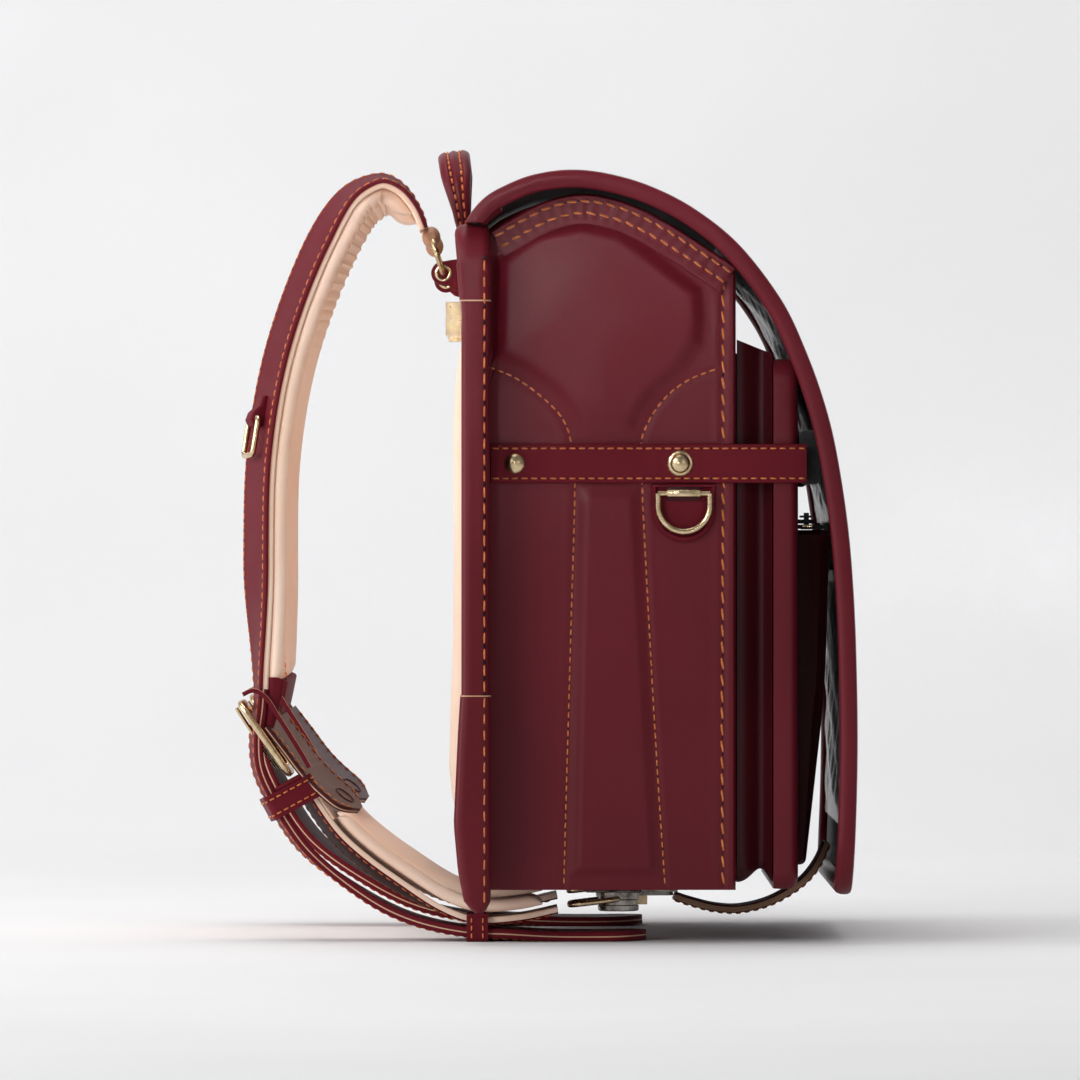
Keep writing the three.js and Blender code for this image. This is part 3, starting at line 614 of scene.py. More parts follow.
def make_side_panels():
    ys = np.linspace(PANEL_BACK, PANEL_FRONT, 96)
    shares = np.linspace(0, 1, 250)
    tops = [min(top_of_panel(y), 331.0 if y > 28.1 else 999.0) for y in ys]
    points = np.array([(y, lerp(PANEL_LOW, top, share)) for share in shares for y, top in zip(ys, tops)])
    relief = panel_relief(points)
    for label, s in SIDES:
        outer = []
        inner = []
        for i in range(len(shares)):
            row = slice(i * len(ys), (i + 1) * len(ys))
            outer.append([(s * (PANEL_X - 0.05 + r), y, z) for (y, z), r in zip(points[row], relief[row])])
            inner.append([(s * (PANEL_X - 3), y, z) for y, z in points[row]])
        verts, faces, kinds = slab(outer, inner)
        build(f"panel_skin_{label}", verts, faces, "satchel", "leather_panel", [PANEL, LINING],
              [f"side_panel_{label}"], lambda index, kinds=kinds: int(kinds[index] == 1))
        rows = [flat_row(SEAM_BACK, s), flat_row(SEAM_FRONT, s)]
        stitch_rows(f"panel_stitches_{label}", rows, "satchel", 4.3, 3.0, 0.42)
        seam = Route([(FRONT_SEAM_Y, 316, 0), (FRONT_SEAM_Y, 200, 0), (FRONT_SEAM_Y + 0.5, 100, 0),
                      (FRONT_SEAM_Y, 27, 0)])
        stitch_rows(f"front_seam_stitches_{label}", [flat_row(seam, s)], "satchel", 7.8, 5.6, 0.62,
                    slant=s * 0.16)


TRIM_WIDE = 14.6
TRIM_ROWS = (3.6, 9.2)  # depth of the two stitch rows below the top edge
TRIM_PITCH = 6.1


def make_trim_bands():
    """Turned-over band along the top edge of each side panel, with two rows of stitches."""
    steps = 220
    profile = ((0.0, 0.2), (0.3, 1.1), (1.2, 1.9), (3.4, 1.7), (5.4, 1.9), (7.3, 1.7), (9.2, 2.0),
               (11.4, 1.8), (13.2, 2.3), (14.2, 2.0), (TRIM_WIDE, 1.2), (TRIM_WIDE, 0.1))
    for label, s in SIDES:
        rings = []
        upper = []
        lower = []
        for i in range(steps + 1):
            t = lerp(-0.17, 1.1, i / steps)
            tangent = SIDE_TOP.tangent(t)
            at = SIDE_TOP.at(t) + tangent * ((t - min(max(t, 0), 1)) * SIDE_TOP.length)
            down = Vector((tangent.y, -tangent.x, 0))
            down = down if down.y < 0 else -down
            pucker = math.sin(2 * math.pi * t * SIDE_TOP.length / TRIM_PITCH)
            ring = []
            for depth, lift in profile:
                spot = at + down * depth
                spot.x = min(max(spot.x, PANEL_FRONT - 0.2), 28.0)
                near_rows = sum(math.exp(-(((depth - row) / 1.6) ** 2)) for row in TRIM_ROWS)
                x = PANEL_X + lift - 0.32 * near_rows * (0.6 + pucker)
                ring.append((s * x, spot.x, spot.y))
            for _, y, z in (ring[-1], ring[0]):
                ring.append((s * (PANEL_X - 1), y, z))
            rings.append(ring)
            for depth, row in zip(TRIM_ROWS, (upper, lower)):
                spot = at + down * depth
                if PANEL_FRONT + 1 < spot.x < 27.5:
                    row.append(((s * (PANEL_X + 1.55), spot.x, spot.y), (s, 0, 0)))
        verts, faces = loft(rings)
        build(f"trim_band_{label}", verts, faces, "satchel", "leather_edge", [PANEL])
        stitch_rows(f"trim_stitches_{label}", [upper, lower], "satchel", TRIM_PITCH, 4.7, 0.62, -s * 0.12)


# ---------------------------------------------------------------- side belts, studs and side rings
BELT_MID = (BELT_LOW + BELT_HIGH) / 2
BELT_HALF = (BELT_HIGH - BELT_LOW) / 2
BELT_ENDS = (27.9, -121.5)
RIVET_Y = 16.6
SNAP_Y = -61.6
STUD_SEAT = 2.85  # how far a stud's base stands out of the belt's inner face


def belt_lift(y):
    """Inner face of the side belt: it rides on the panel's relief."""
    if y < PANEL_FRONT + 4:
        return PANEL_X + 0.3
    spots = np.array([(y + dy, z) for dy in (-3, 0, 3) for z in (219, 227, 236)])
    return PANEL_X + 0.2 + max(0.0, float(panel_relief(spots).max()))


def make_side_belts():
    steps = 90
    for label, s in SIDES:
        rings = []
        rows = ([], [])
        for i in range(steps + 1):
            y = lerp(*BELT_ENDS, i / steps)
            x = belt_lift(y)
            section = rounded(BELT_HALF, 0, 2.5, 1.0, 0, 8, 3)
            rings.append([(s * (x + n + 0.35 * (1 - (w / BELT_HALF) ** 2)), y, BELT_MID + w)
                          for w, n in section])
            for row, w in zip(rows, (-7.1, 7.1)):
                row.append(((s * (x + 2.62), y, BELT_MID + w), (s, 0, 0)))
        verts, faces = loft(rings)
        build(f"belt_skin_{label}", verts, faces, "satchel", "leather_edge", [BELT], [f"side_belt_{label}"])
        stitch_rows(f"belt_stitches_{label}", rows, "satchel", 4.4, 3.1, 0.42)
        elastic = side_box(s, 108, 123, -128.3, -118.3, 217.5, 243, 3)
        build(f"elastic_{label}", *elastic, "satchel", "lining", [LINING])

        face = belt_lift(RIVET_Y) + STUD_SEAT
        rivet = lathe(((5.0, -0.6), (5.0, 0.25), (4.7, 0.8), (3.9, 1.5), (2.7, 2.2), (1.3, 2.6), (0, 2.7)),
                      (s * face, RIVET_Y, BELT_MID), (s, 0, 0))
        build(f"rivet_{label}", *rivet, "satchel", "aged_brass", [BRASS], [f"belt_rivet_{label}"])
        face = belt_lift(SNAP_Y) + STUD_SEAT
        snap = lathe(((6.1, -0.6), (6.1, 0.3), (5.7, 0.7), (5.1, 0.75), (4.7, 0.9), (4.4, 1.7), (3.4, 2.6),
                      (1.8, 3.1), (0, 3.2)), (s * face, SNAP_Y, BELT_MID), (s, 0, 0))
        build(f"snap_{label}", *snap, "satchel", "aged_brass", [BRASS], [f"belt_snap_{label}"])


RING_Y = -63.4
RING_Z = 213.0
RING_X = 129.3
RING_HALF = 12.3
PATCH_HALF = 15.2
PATCH_PROFILE = ((0.0, -0.4), (0.0, 1.3), (0.8, 2.2), (2.2, 2.2), (2.9, 0.6), (3.6, 0.6), (4.6, 1.2),
                 (9.0, 1.1))  # (distance in from the patch's edge, height)


def make_side_rings():
    """Rounded leather patch, its tab and the D ring on each side."""
    for label, s in SIDES:
        outline = [(RING_Y + PATCH_HALF, 217.5)]
        for i in range(25):
            angle = math.pi * i / 24
            outline.append((RING_Y + PATCH_HALF * math.cos(angle), 205 - 15.0 * math.sin(angle)))
        outline.append((RING_Y - PATCH_HALF, 217.5))
        middle = Vector((RING_Y, 207))
        rings = []
        for inset, lift in PATCH_PROFILE:
            ring = []
            for y, z in outline:
                inward = (middle - Vector((y, z))).normalized() * inset
                spot = Vector((y, z)) + inward
                ring.append((s * (PANEL_X + 0.3 + lift), spot.x, spot.y))
            rings.append(ring)
        verts, faces = loft(rings)
        build(f"ring_patch_{label}", verts, faces, "satchel", "leather_panel", [BELT])
        tab = side_box(s, 125.4, 126.9, RING_Y - 8.4, RING_Y + 8.4, 209.4, 217.8, 0.9)
        build(f"ring_tab_{label}", *tab, "satchel", "leather_dark", [DARK_AND_SHADE], [f"dring_mount_{label}"])
        bow = [(RING_Y - RING_HALF, RING_Z)]
        for i in range(29):
            angle = math.pi * i / 28
            bow.append((RING_Y - RING_HALF * math.cos(angle), RING_Z - 5.7 - RING_HALF * math.sin(angle)))
        bow.append((RING_Y + RING_HALF, RING_Z))
        wire = tube([(s * RING_X, y, z) for y, z in bow], 1.55, sides=14)
        bar = side_box(s, 127.9, 131.0, RING_Y - 8.4, RING_Y + 8.4, 211.4, 214.8, 1.2)
        pin = [(s * RING_X, RING_Y + share * RING_HALF, RING_Z) for share in (-1, 0, 1)]
        rod = tube(pin, 1.3, across=(1, 0, 0))
        ring_name = f"side_dring_{label}"
        build(f"side_ring_wire_{label}", *join_meshes(wire, rod, bar), ring_name, "aged_brass", [BRASS],
              [ring_name], sharp=50)


# ---------------------------------------------------------------- flap
HINGE_Z = 340.6
# Outer line of the flap seen from the side. The CAD has the same points.
FLAP_LINE = Route([(40.2, 340.6, 0), (36, 347, 0), (30.6, 352.6, 0), (23.5, 357, 0), (9.4, 362.8, 0),
                   (-8, 365.5, 0), (-25.9, 364, 0), (-47.1, 357.9, 0), (-68.3, 347, 0), (-89.5, 329.8, 0),
                   (-109.2, 304, 0), (-120.5, 280.4, 0), (-129, 256.9, 0), (-134.9, 233.4, 0),
                   (-140.4, 198, 0), (-143.3, 162.8, 0), (-144.6, 127.4, 0), (-145, 92, 0),
                   (-144.2, 57, 0), (-142.6, 23, 0)])
FLAP_HALF = 150.0
CORNER = 26.0
NOTCH = 47.0


def on_flap(x, walked, depth, sideways=0.0):
    """Point of the flap at a length along its outer line, below its surface by depth."""
    t = walked / FLAP_LINE.length
    at = FLAP_LINE.at(t)
    tangent = FLAP_LINE.tangent(t)
    inward = Vector((-tangent.y, tangent.x, 0))
    beyond = max(walked - FLAP_LINE.length, 0)
    spot = at + inward * depth + tangent * (beyond + sideways)
    z = max(spot.y, HINGE_Z) if spot.x > 0 else spot.y
    return (x, spot.x, z)


def flap_half(walked, inset):
    """Half width of the flap at a length along it, inside its rounded lower corners."""
    start = FLAP_LINE.length - CORNER
    if walked <= start:
        return FLAP_HALF - inset
    drop = min((walked - start) / (CORNER - inset), 1.0)
    return FLAP_HALF - CORNER + (CORNER - inset) * math.sqrt(max(1 - drop * drop, 0))


def flap_path(inset, steps=200):
    """(x, walked, inward direction) round the flap's edge, from the left root to the right root."""
    length = FLAP_LINE.length
    path = []
    for i in range(steps):
        path.append((-FLAP_HALF + inset, (length - CORNER) * i / steps, (1, 0)))
    for i in range(17):
        angle = math.pi / 2 * i / 16
        reach = CORNER - inset
        path.append((-FLAP_HALF + CORNER - reach * math.cos(angle), length - CORNER + reach * math.sin(angle),
                     (math.cos(angle), -math.sin(angle))))
    for i in range(1, 24):
        path.append((lerp(-FLAP_HALF + CORNER, 0, i / 23), length - inset, (0, -1)))
    mirrored = [(-x, walked, (-ex, es)) for x, walked, (ex, es) in reversed(path[:-1])]
    return path + mirrored


def make_flap():
    length = FLAP_LINE.length
    lengths = [length * i / 150 for i in range(150)] + [length - 4.6]
    notch_at = next(w for w in lengths if FLAP_LINE.at(w / length).x < 27)
    columns = sorted({*np.linspace(-1, 1, 35), -NOTCH / 143, NOTCH / 143})
    outer = []
    inner = []
    for walked in lengths:
        half = flap_half(walked, 5.0)
        sag = 0.5 * smoothstep(walked, 60, 160)
        outer.append([on_flap(c * half, walked, 1.0 - 0.7 * sag * (1 - c * c)) for c in columns])
        inner.append([on_flap(c * half, walked, 4.3) for c in columns])

    def keep(i, j):
        middle = (columns[j] + columns[j + 1]) / 2
        return lengths[i] >= notch_at or abs(middle) > NOTCH / 143

    verts, faces, kinds = slab(outer, inner, keep)
    build("flap_skin", verts, faces, "flap", "leather_panel", [PANEL, LINING, RIM], ["flap_panel"],
          lambda index: kinds[index])

    rim_section = ((0.9, 0.5), (0.15, 2.0), (0.0, 3.6), (0.1, 5.4), (0.8, 7.2), (2.3, 8.3), (4.6, 8.5),
                   (6.8, 8.0), (8.2, 6.8), (8.9, 4.6), (9.0, 2.4), (8.4, 0.9), (7.0, 0.25), (4.6, 0.0),
                   (2.3, 0.05))
    rings = []
    for x, walked, (ex, es) in flap_path(0.0):
        rings.append([on_flap(x + ex * a, min(walked, length), depth, es * a) for a, depth in rim_section])
    verts, faces = loft(rings)
    build("flap_roll", verts, faces, "flap", "leather_edge", [RIM], ["flap_rim"])

    row = [(on_flap(x, walked, 0.85), flap_out(walked)) for x, walked, _ in flap_path(12.5)]
    stitch_rows("flap_stitches", [row], "flap", 4.4, 3.1, 0.42)
    for label, s in SIDES:
        profile = ((0.0, -1.0), (5.2, -1.0), (5.2, 0.3), (4.4, 1.0), (2.4, 1.5), (0, 1.6))
        stud = lathe(profile, (0, 0, 0), (0, -1, 0))
        spot = Vector(on_flap(s * 118, length - 43, 0.6))
        verts = [Vector((v.x * 0.8, v.y, v.z)) + spot for v in stud[0]]
        build(f"flap_stud_{label}", verts, stud[1], "flap", "steel_dark", [STEEL])


def flap_out(walked):
    tangent = FLAP_LINE.tangent(min(walked / FLAP_LINE.length, 1))
    return (0, tangent.y, -tangent.x)


def make_window():
    """Clear document pocket inside the flap, slightly crinkled."""
    length = FLAP_LINE.length
    rows = [lerp(0.30, 0.62, i / 40) * length for i in range(41)]
    lower = [lerp(0.67, 0.93, i / 30) * length for i in range(31)]
    for name, lengths, stands_for in (("vinyl_upper", rows, ()), ("vinyl_lower", lower, ("flap_window",))):
        outer = []
        inner = []
        for i, walked in enumerate(lengths):
            line_outer = []
            line_inner = []
            for j in range(31):
                x = lerp(-105, 105, j / 30)
                rim = smoothstep(min(i, len(lengths) - 1 - i, j, 30 - j), 0, 4)
                ripple = 0.6 * math.sin(i * 0.9 + j * 0.35) + 0.4 * math.sin(j * 1.3 - i * 0.4)
                depth = 6.6 + 1.0 * rim * (1 + ripple)
                line_outer.append(on_flap(x, walked, depth))
                line_inner.append(on_flap(x, walked, depth + 0.3))
            outer.append(line_outer)
            inner.append(line_inner)
        verts, faces, _ = slab(outer, inner)
        build(name, verts, faces, "flap", "clear_vinyl", [VINYL], stands_for)


# ---------------------------------------------------------------- back: binding and cushion
def back_path(steps=60):
    """(x, z, outward x, outward z, half thickness) up the left rail, across the top and down the right."""
    path = []
    for i in range(steps):
        z = lerp(17.2, 322, i / steps)
        path.append((-143.65, z, -1, 0, 6.35))
    for i in range(13):
        angle = math.pi / 2 * i / 12
        half = lerp(6.35, 4.0, i / 12)
        path.append((-134 - 9.65 * math.cos(angle), 322 + 14 * math.sin(angle), -math.cos(angle),
                     math.sin(angle), half))
    for i in range(1, 16):
        path.append((lerp(-134, 0, i / 15), 336, 0, 1, 4.0))
    mirrored = [(-x, z, -ox, oz, half) for x, z, ox, oz, half in reversed(path[:-1])]
    return path + mirrored


BINDING_HEIGHTS = (14, 20, 35, 57, 100, 119, 300, 306, 335)
BINDING_BACKS = (38, 40, 43, 45, 43, 41.8, 41.8, 42.4, 45)  # rear face of the binding at those heights


def binding_ring(x, z, ox, oz, half, grow=0.0):
    """Section of the back binding; its lower ends are slimmer and rounded."""
    y_back = float(np.interp(z, BINDING_HEIGHTS, BINDING_BACKS))
    shrink = 1 - 0.65 * (1 - smoothstep(z, 13.5, 21)) if abs(x) > 130 else 1.0
    mid = (28.4 + y_back) / 2
    depth = (y_back - 28.4) / 2 * shrink + grow
    section = rounded(depth, -half * shrink - grow * 0.4, half * shrink + grow, 4.2, 0, 5, 4)
    return [(x + ox * n, mid + w, z + oz * n) for w, n in section]


def make_binding():
    path = back_path()
    end = path[0]
    rings = [binding_ring(end[0], 15.0, *end[2:])] + [binding_ring(*spot) for spot in path]
    rings.append(binding_ring(-end[0], 15.0, -end[2], end[3], end[4]))
    verts, faces = loft(rings)
    build("binding_roll", verts, faces, "satchel", "leather_edge", [RIM], ["back_binding"])
    for label, s in SIDES:
        rows = [[((s * 150.05, 30.9, z), (s, 0, 0)) for z in np.linspace(19, 324, 60)]]
        stitch_rows(f"binding_stitches_{label}", rows, "satchel", 7.6, 5.0, 0.45)
        for part, z0, z1 in (("low", 16.5, 117.5), ("high", 303.8, 321.5)):
            rings = [binding_ring(s * 143.65, lerp(z0, z1, i / 24), s, 0, 6.35, 0.45) for i in range(25)]
            verts, faces = loft(rings)
            build(f"binding_patch_{part}_{label}", verts, faces, "satchel", "leather_edge", [RIM])
            edge = z1 if part == "low" else z0
            verts, faces = loft([binding_ring(s * 143.65, edge + dz, s, 0, 6.35, 0.62) for dz in (-0.3, 0.3)])
            build(f"binding_line_{part}_{label}", verts, faces, "satchel", "leather_edge", [NATURAL])


CUSHION_LINE = ((51, 41.5), (57, 43.8), (70, 46.6), (84, 48), (113, 47.2), (144, 46), (180, 45.8), (247, 46),
                (270, 44.6), (287, 42))  # (height, rear face) down the middle
CUSHION_BASE_Y = 40.1
CUSHION_HALF = 112
CUSHION_CHANNELS = (14, 62)  # distances of the sewn channels from the middle


def make_cushion():
    """Padded back: crowned, with sewn channels that pull the surface in."""
    zs = np.concatenate((np.linspace(49.5, 60, 12), np.linspace(62, 276, 120), np.linspace(278, 287.5, 12)))
    xs = np.linspace(-CUSHION_HALF, CUSHION_HALF, 110)
    outer = []
    inner = []
    for z in zs:
        line = []
        back = []
        top = float(np.interp(z, [p[0] for p in CUSHION_LINE], [p[1] for p in CUSHION_LINE]))
        for x in xs:
            edge = min(CUSHION_HALF - abs(x), z - 49, 288 - z)
            round_off = math.sqrt(max(0.0, 1 - (1 - min(edge / 9, 1)) ** 2))
            channel = max(math.exp(-(((abs(x) - at) / 3.0) ** 2)) for at in CUSHION_CHANNELS)
            ribbed = CUSHION_CHANNELS[0] < abs(x) < CUSHION_CHANNELS[1]
            ribs = math.exp(-((((z - 60) % 38 - 19) / 2.6) ** 2)) if ribbed else 0.0
            lift = (top - CUSHION_BASE_Y) * round_off * (1 - 0.72 * channel) * (1 - 0.5 * ribs * round_off)
            line.append((x, CUSHION_BASE_Y + max(lift, 0.1), z))
            back.append((x, CUSHION_BASE_Y - 0.2, z))
        outer.append(line)
        inner.append(back)
    verts, faces, _ = slab(outer, inner)
    cushion = build("cushion_back", verts, faces, "satchel", "cream_pad", [CREAM], ["back_cushion"])


# ---------------------------------------------------------------- pockets on the front
def flap_inside_y(z, depth=5.4):
    """How far forward the space under the flap reaches at a height."""
    spots = [on_flap(0, FLAP_LINE.length * i / 60, depth) for i in range(10, 61)]
    spots = sorted((p[2], p[1]) for p in spots)
    return float(np.interp(z, [s[0] for s in spots], [s[1] for s in spots]))


def make_pockets():
    path = [(-118.6, z, 1, 0) for z in np.linspace(286, 39, 40)]
    path += [(-108 - 10.6 * math.cos(a), 39 - 10.6 * math.sin(a), math.cos(a), math.sin(a))
             for a in (math.pi / 2 * i / 10 for i in range(1, 11))]
    path += [(x, 28.4, 0, 1) for x in np.linspace(-100, 0, 8)]
    path += [(-x, z, -ix, iz) for x, z, ix, iz in reversed(path[:-1])]
    rings = []
    for x, z, ix, iz in path:
        ring = []
        for back, sign in ((0.0, 1), (2.2, -1)):
            line = []
            for i in range(13):
                share = i / 12
                hollow = 6.5 * math.sin(math.pi * share**1.8) ** 1.3 + back
                y = lerp(-88.6, -105.4, share)
                drop = 6.5 * share * smoothstep(z, 280, 286)
                line.append((x + ix * hollow, y, z + iz * hollow - drop))
            ring.extend(line[::sign])
        rings.append(ring)
    verts, faces = loft(rings)
    # The gusset's dark burgundy is painted shade for its hollow.
    build("gusset_skin", verts, faces, "satchel", "leather_dark", [DARK_AND_SHADE], ["pocket_gusset"])

    half = 124.6
    low = PANEL_LOW
    high = 277.0
    radius = 10.0
    corners = ((half - radius, high - radius, 0), (-half + radius, high - radius, 90),
               (-half + radius, low + radius, 180), (half - radius, low + radius, 270))
    path = []
    for index, (cx, cz, start) in enumerate(corners):
        for step in range(13):
            angle = math.radians(start + 90 * step / 12)
            path.append((cx + radius * math.cos(angle), cz + radius * math.sin(angle), math.cos(angle),
                         math.sin(angle)))
        nx, nz, _ = corners[(index + 1) % 4]
        angle = math.radians(start + 90)
        for step in range(1, 40):
            share = step / 40
            path.append((lerp(cx, nx, share) + radius * math.cos(angle),
                         lerp(cz, nz, share) + radius * math.sin(angle),
                         math.cos(angle), math.sin(angle)))
    section = [(0.3, -105.9), (9.4, -105.9), (9.6, -110.5)]
    section += [(4.8 + 4.7 * math.cos(a), -112.9 - 4.7 * math.sin(a))
                for a in (math.pi * i / 12 for i in range(13))]
    section += [(0.0, -110.5)]
    rings = []
    for x, z, ox, oz in path:
        ring = []
        for inset, y in section:
            spot_z = z - oz * inset
            ring.append((x - ox * inset, max(y, flap_inside_y(spot_z) + 0.4), spot_z))
        rings.append(ring)
    verts, faces = loft(rings, closed_path=True)
    build("pocket_roll", verts, faces, "satchel", "leather_panel", [PANEL], ["pocket_front"])
    plate = rounded_box(-118, 118, -109, -105.9, 32, 270, 1.4)
    build("pocket_plate", *plate, "satchel", "leather_dark", [DARK_AND_SHADE])
    row = [((x - ox * 12.4, -109.05, z - oz * 12.4), (0, -1, 0)) for x, z, ox, oz in path + path[:1]]
    stitch_rows("pocket_stitches", [row], "satchel", 4.4, 3.1, 0.42)


ZIP_OUTLINE = ((-109.3, 36.5), (-109.3, 195.8), (-133.2, 195.8), (-130.9, 120), (-121.6, 36.5))
ZIP_Y = -122.5


def make_zip_pocket():
    centre = Vector((-119.5, 115))
    smooth = []
    count = len(ZIP_OUTLINE)
    for i in range(count):
        before = Vector(ZIP_OUTLINE[i - 1])
        here = Vector(ZIP_OUTLINE[i])
        after = Vector(ZIP_OUTLINE[(i + 1) % count])
        reach = 18 if i == 3 else 3.2
        start = here + (before - here).normalized() * reach
        end = here + (after - here).normalized() * reach
        for step in range(7):
            u = step / 6
            smooth.append(start * (1 - u) ** 2 + here * 2 * u * (1 - u) + end * u * u)
    rings = []
    for i in range(61):
        x = lerp(-110, 110, i / 60)
        edge = min((110 - abs(x)) / 6, 1)
        inset = 4.5 * (1 - math.sqrt(max(1 - (1 - edge) ** 2, 0)))
        ring = []
        for spot in smooth:
            inward = centre - spot
            y = spot.x + inset * math.copysign(min(abs(inward.x) / 8, 1), inward.x)
            ring.append((x, y, spot.y + math.copysign(inset * 0.5, inward.y)))
        rings.append(ring)
    verts, faces = loft(rings)
    # The zip pocket's near-black skin is painted shade on burgundy leather.
    build("zip_pocket_skin", verts, faces, "satchel", "leather_dark", [ZIP_POCKET_SHADE], ["zip_pocket"])
    tape_a = rounded_box(-106, 106, ZIP_Y + 2.4, ZIP_Y + 8, 196.3, 198.2, 0.8)
    tape_b = rounded_box(-106, 106, ZIP_Y - 8, ZIP_Y - 2.4, 196.3, 198.2, 0.8)
    build("zip_tape", *join_meshes(tape_a, tape_b), "satchel", "lining", [LINING], ["zipper_tape"])
    teeth = []
    for i in range(95):
        x = lerp(-101, 101, i / 94)
        side = 1 if i % 2 else -1
        reach = sorted((side * 2.6, -side * 0.6))
        teeth.append(rounded_box(x - 0.7, x + 0.7, ZIP_Y + reach[0], ZIP_Y + reach[1], 197.0, 198.4, 0.3, 1))
    build("zip_teeth", *join_meshes(*teeth), "satchel", "aged_brass", [BRASS])


# ---------------------------------------------------------------- closing strap
TONGUE = Route([(-134.5, 44, 0), (-130, 34, 0), (-122, 24.5, 0), (-108, 16, 0), (-93, 12, 0), (-80, 12.5, 0),
                (-68, 15.5, 0), (-60.5, 18, 0)])


def make_tongue():
    rings = []
    rows = ([], [])
    steps = 70
    for i in range(steps + 1):
        t = i / steps
        at = TONGUE.at(t)
        tangent = TONGUE.tangent(t)
        out = Vector((tangent.y, -tangent.x, 0))
        half = 17 - 3 * smoothstep(t, 0.8, 1)
        ring = []
        for w, n in rounded(half, -1.7, 1.7, 0.9, 0, 8, 3):
            spot = at + out * n
            ring.append((w, spot.x, spot.y))
        rings.append(ring)
        for row, w in zip(rows, (-1, 1)):
            spot = at + out * 1.75
            row.append(((w * (half - 2.6), spot.x, spot.y), (0, out.x, out.y)))
    verts, faces = loft(rings)
    size = len(rings[0])

    def edge_tan(index):
        if index >= size * steps:
            return 1
        j = index % size
        return int(j in (3, 4) or size // 2 + 2 <= j <= size // 2 + 4)

    build("tongue", verts, faces, "flap", "leather_panel", [BELT, NATURAL], ["closing_strap"], edge_tan)
    stitch_rows("tongue_stitches", rows, "flap", 4.2, 3.0, 0.42)


# ---------------------------------------------------------------- handle
def make_handle():
    """Arched handle of three stitched ridges."""
    half_path = [(-35.6, -3.2), (-35.8, 3), (-34.6, 11), (-30.5, 20), (-22, 27.6), (-11, 31.6), (0, 32.6)]
    arch = Route([(x, z, 0) for x, z in half_path + [(-x, z) for x, z in reversed(half_path[:-1])]])
    heights = (-4, 0, 8, 24, 36)
    depths = (2.6, 3.8, 4.6, 7.6, 7.9)
    lean = math.radians(8)
    steps = 96
    rings = []
    rows = ([], [])

    def tilt(x, y, z):
        return (x, 42 + y * math.cos(lean) + z * math.sin(lean),
                344.5 - y * math.sin(lean) + z * math.cos(lean))

    for i in range(steps + 1):
        t = i / steps
        at = arch.at(t)
        tangent = arch.tangent(t)
        out = Vector((-tangent.y, tangent.x, 0))
        depth = float(np.interp(at.y, heights, depths))
        ring = []
        for k in range(40):
            angle = 2 * math.pi * k / 40
            w = math.copysign(abs(math.cos(angle)) ** 0.55, math.cos(angle)) * depth
            n = math.copysign(abs(math.sin(angle)) ** 0.75, math.sin(angle)) * 3.9
            if n > 0:
                groove = math.exp(-((abs(w / depth) - 0.36) / 0.09) ** 2)
                n *= 1 - 0.30 * groove - 0.12 * (w / depth) ** 2
            spot = at + out * n
            ring.append(tilt(spot.x, w, spot.y))
        rings.append(ring)
        for row, share in zip(rows, (-0.36, 0.36)):
            spot = at + out * 2.95
            normal = Vector(tilt(out.x, 0, out.y)) - Vector(tilt(0, 0, 0))
            row.append((tilt(spot.x, share * depth, spot.y), normal))
    verts, faces = loft(rings)
    build("handle_skin", verts, faces, "handle", "leather_edge", [RIM], ["handle"])
    stitch_rows("handle_stitches", rows, "handle", 4.4, 3.2, 0.5)


# ---------------------------------------------------------------- strap fittings
def make_fittings():
    for label, s in SIDES:
        x = s * TOP_X
        outline = [(41.8, 326), (46, 325.6)]
        for step in range(21):
            angle = math.radians(90 - 200 * step / 20)
            outline.append((51.2 + 5.8 * math.cos(angle), 319 + 5.8 * math.sin(angle)))
        outline += [(47, 311.6), (41.8, 310.2)]
        rings = []
        for offset, inset in ((-2.0, 0.12), (-1.5, 0.03), (0, 0), (1.5, 0.03), (2.0, 0.12)):
            rings.append([(x + offset, lerp(y, 49, inset), lerp(z, 318.5, inset)) for y, z in outline])
        verts, faces = loft(rings)
        build(f"anchor_tab_{label}", verts, faces, "satchel", "leather_panel", [BELT],
              [f"strap_anchor_{label}"])
        eyelet = lathe(((3.9, -2.6), (4.1, -2.2), (3.8, -1.9), (3.0, -1.9), (3.0, 1.9), (3.8, 1.9),
                        (4.1, 2.2), (3.9, 2.6), (3.4, 2.8), (2.8, 2.7), (2.5, 2.3), (2.5, -2.3),
                        (2.8, -2.7), (3.4, -2.8)), (x, 51.2, 319), (1, 0, 0))
        count = 28
        verts = eyelet[0]
        faces = [face for face in eyelet[1] if len(face) == 4]
        last = len(verts) - count
        faces += [(j, (j + 1) % count, last + (j + 1) % count, last + j) for j in range(count)]
        build(f"eyelet_{label}", verts, faces, "satchel", "aged_brass", [BRASS])

        px = s * LOW_X
        profile = ((9.0, -9.2), (9.7, -8.8), (9.8, -7.6), (9.8, -6.6), (8.9, -6.2), (8.9, -4.0),
                   (9.8, -3.4), (9.8, 1.4))
        post = lathe(profile, (px, -32.7, 23.2), (0, 0, 1))
        plate = rounded_box(px - 16, px + 16, -43.7, -16.7, 23.2, 25.0, 1.5)
        build(f"post_{label}", *join_meshes(post, plate), "satchel", "steel_dark", [STEEL],
              [f"strap_post_{label}"])


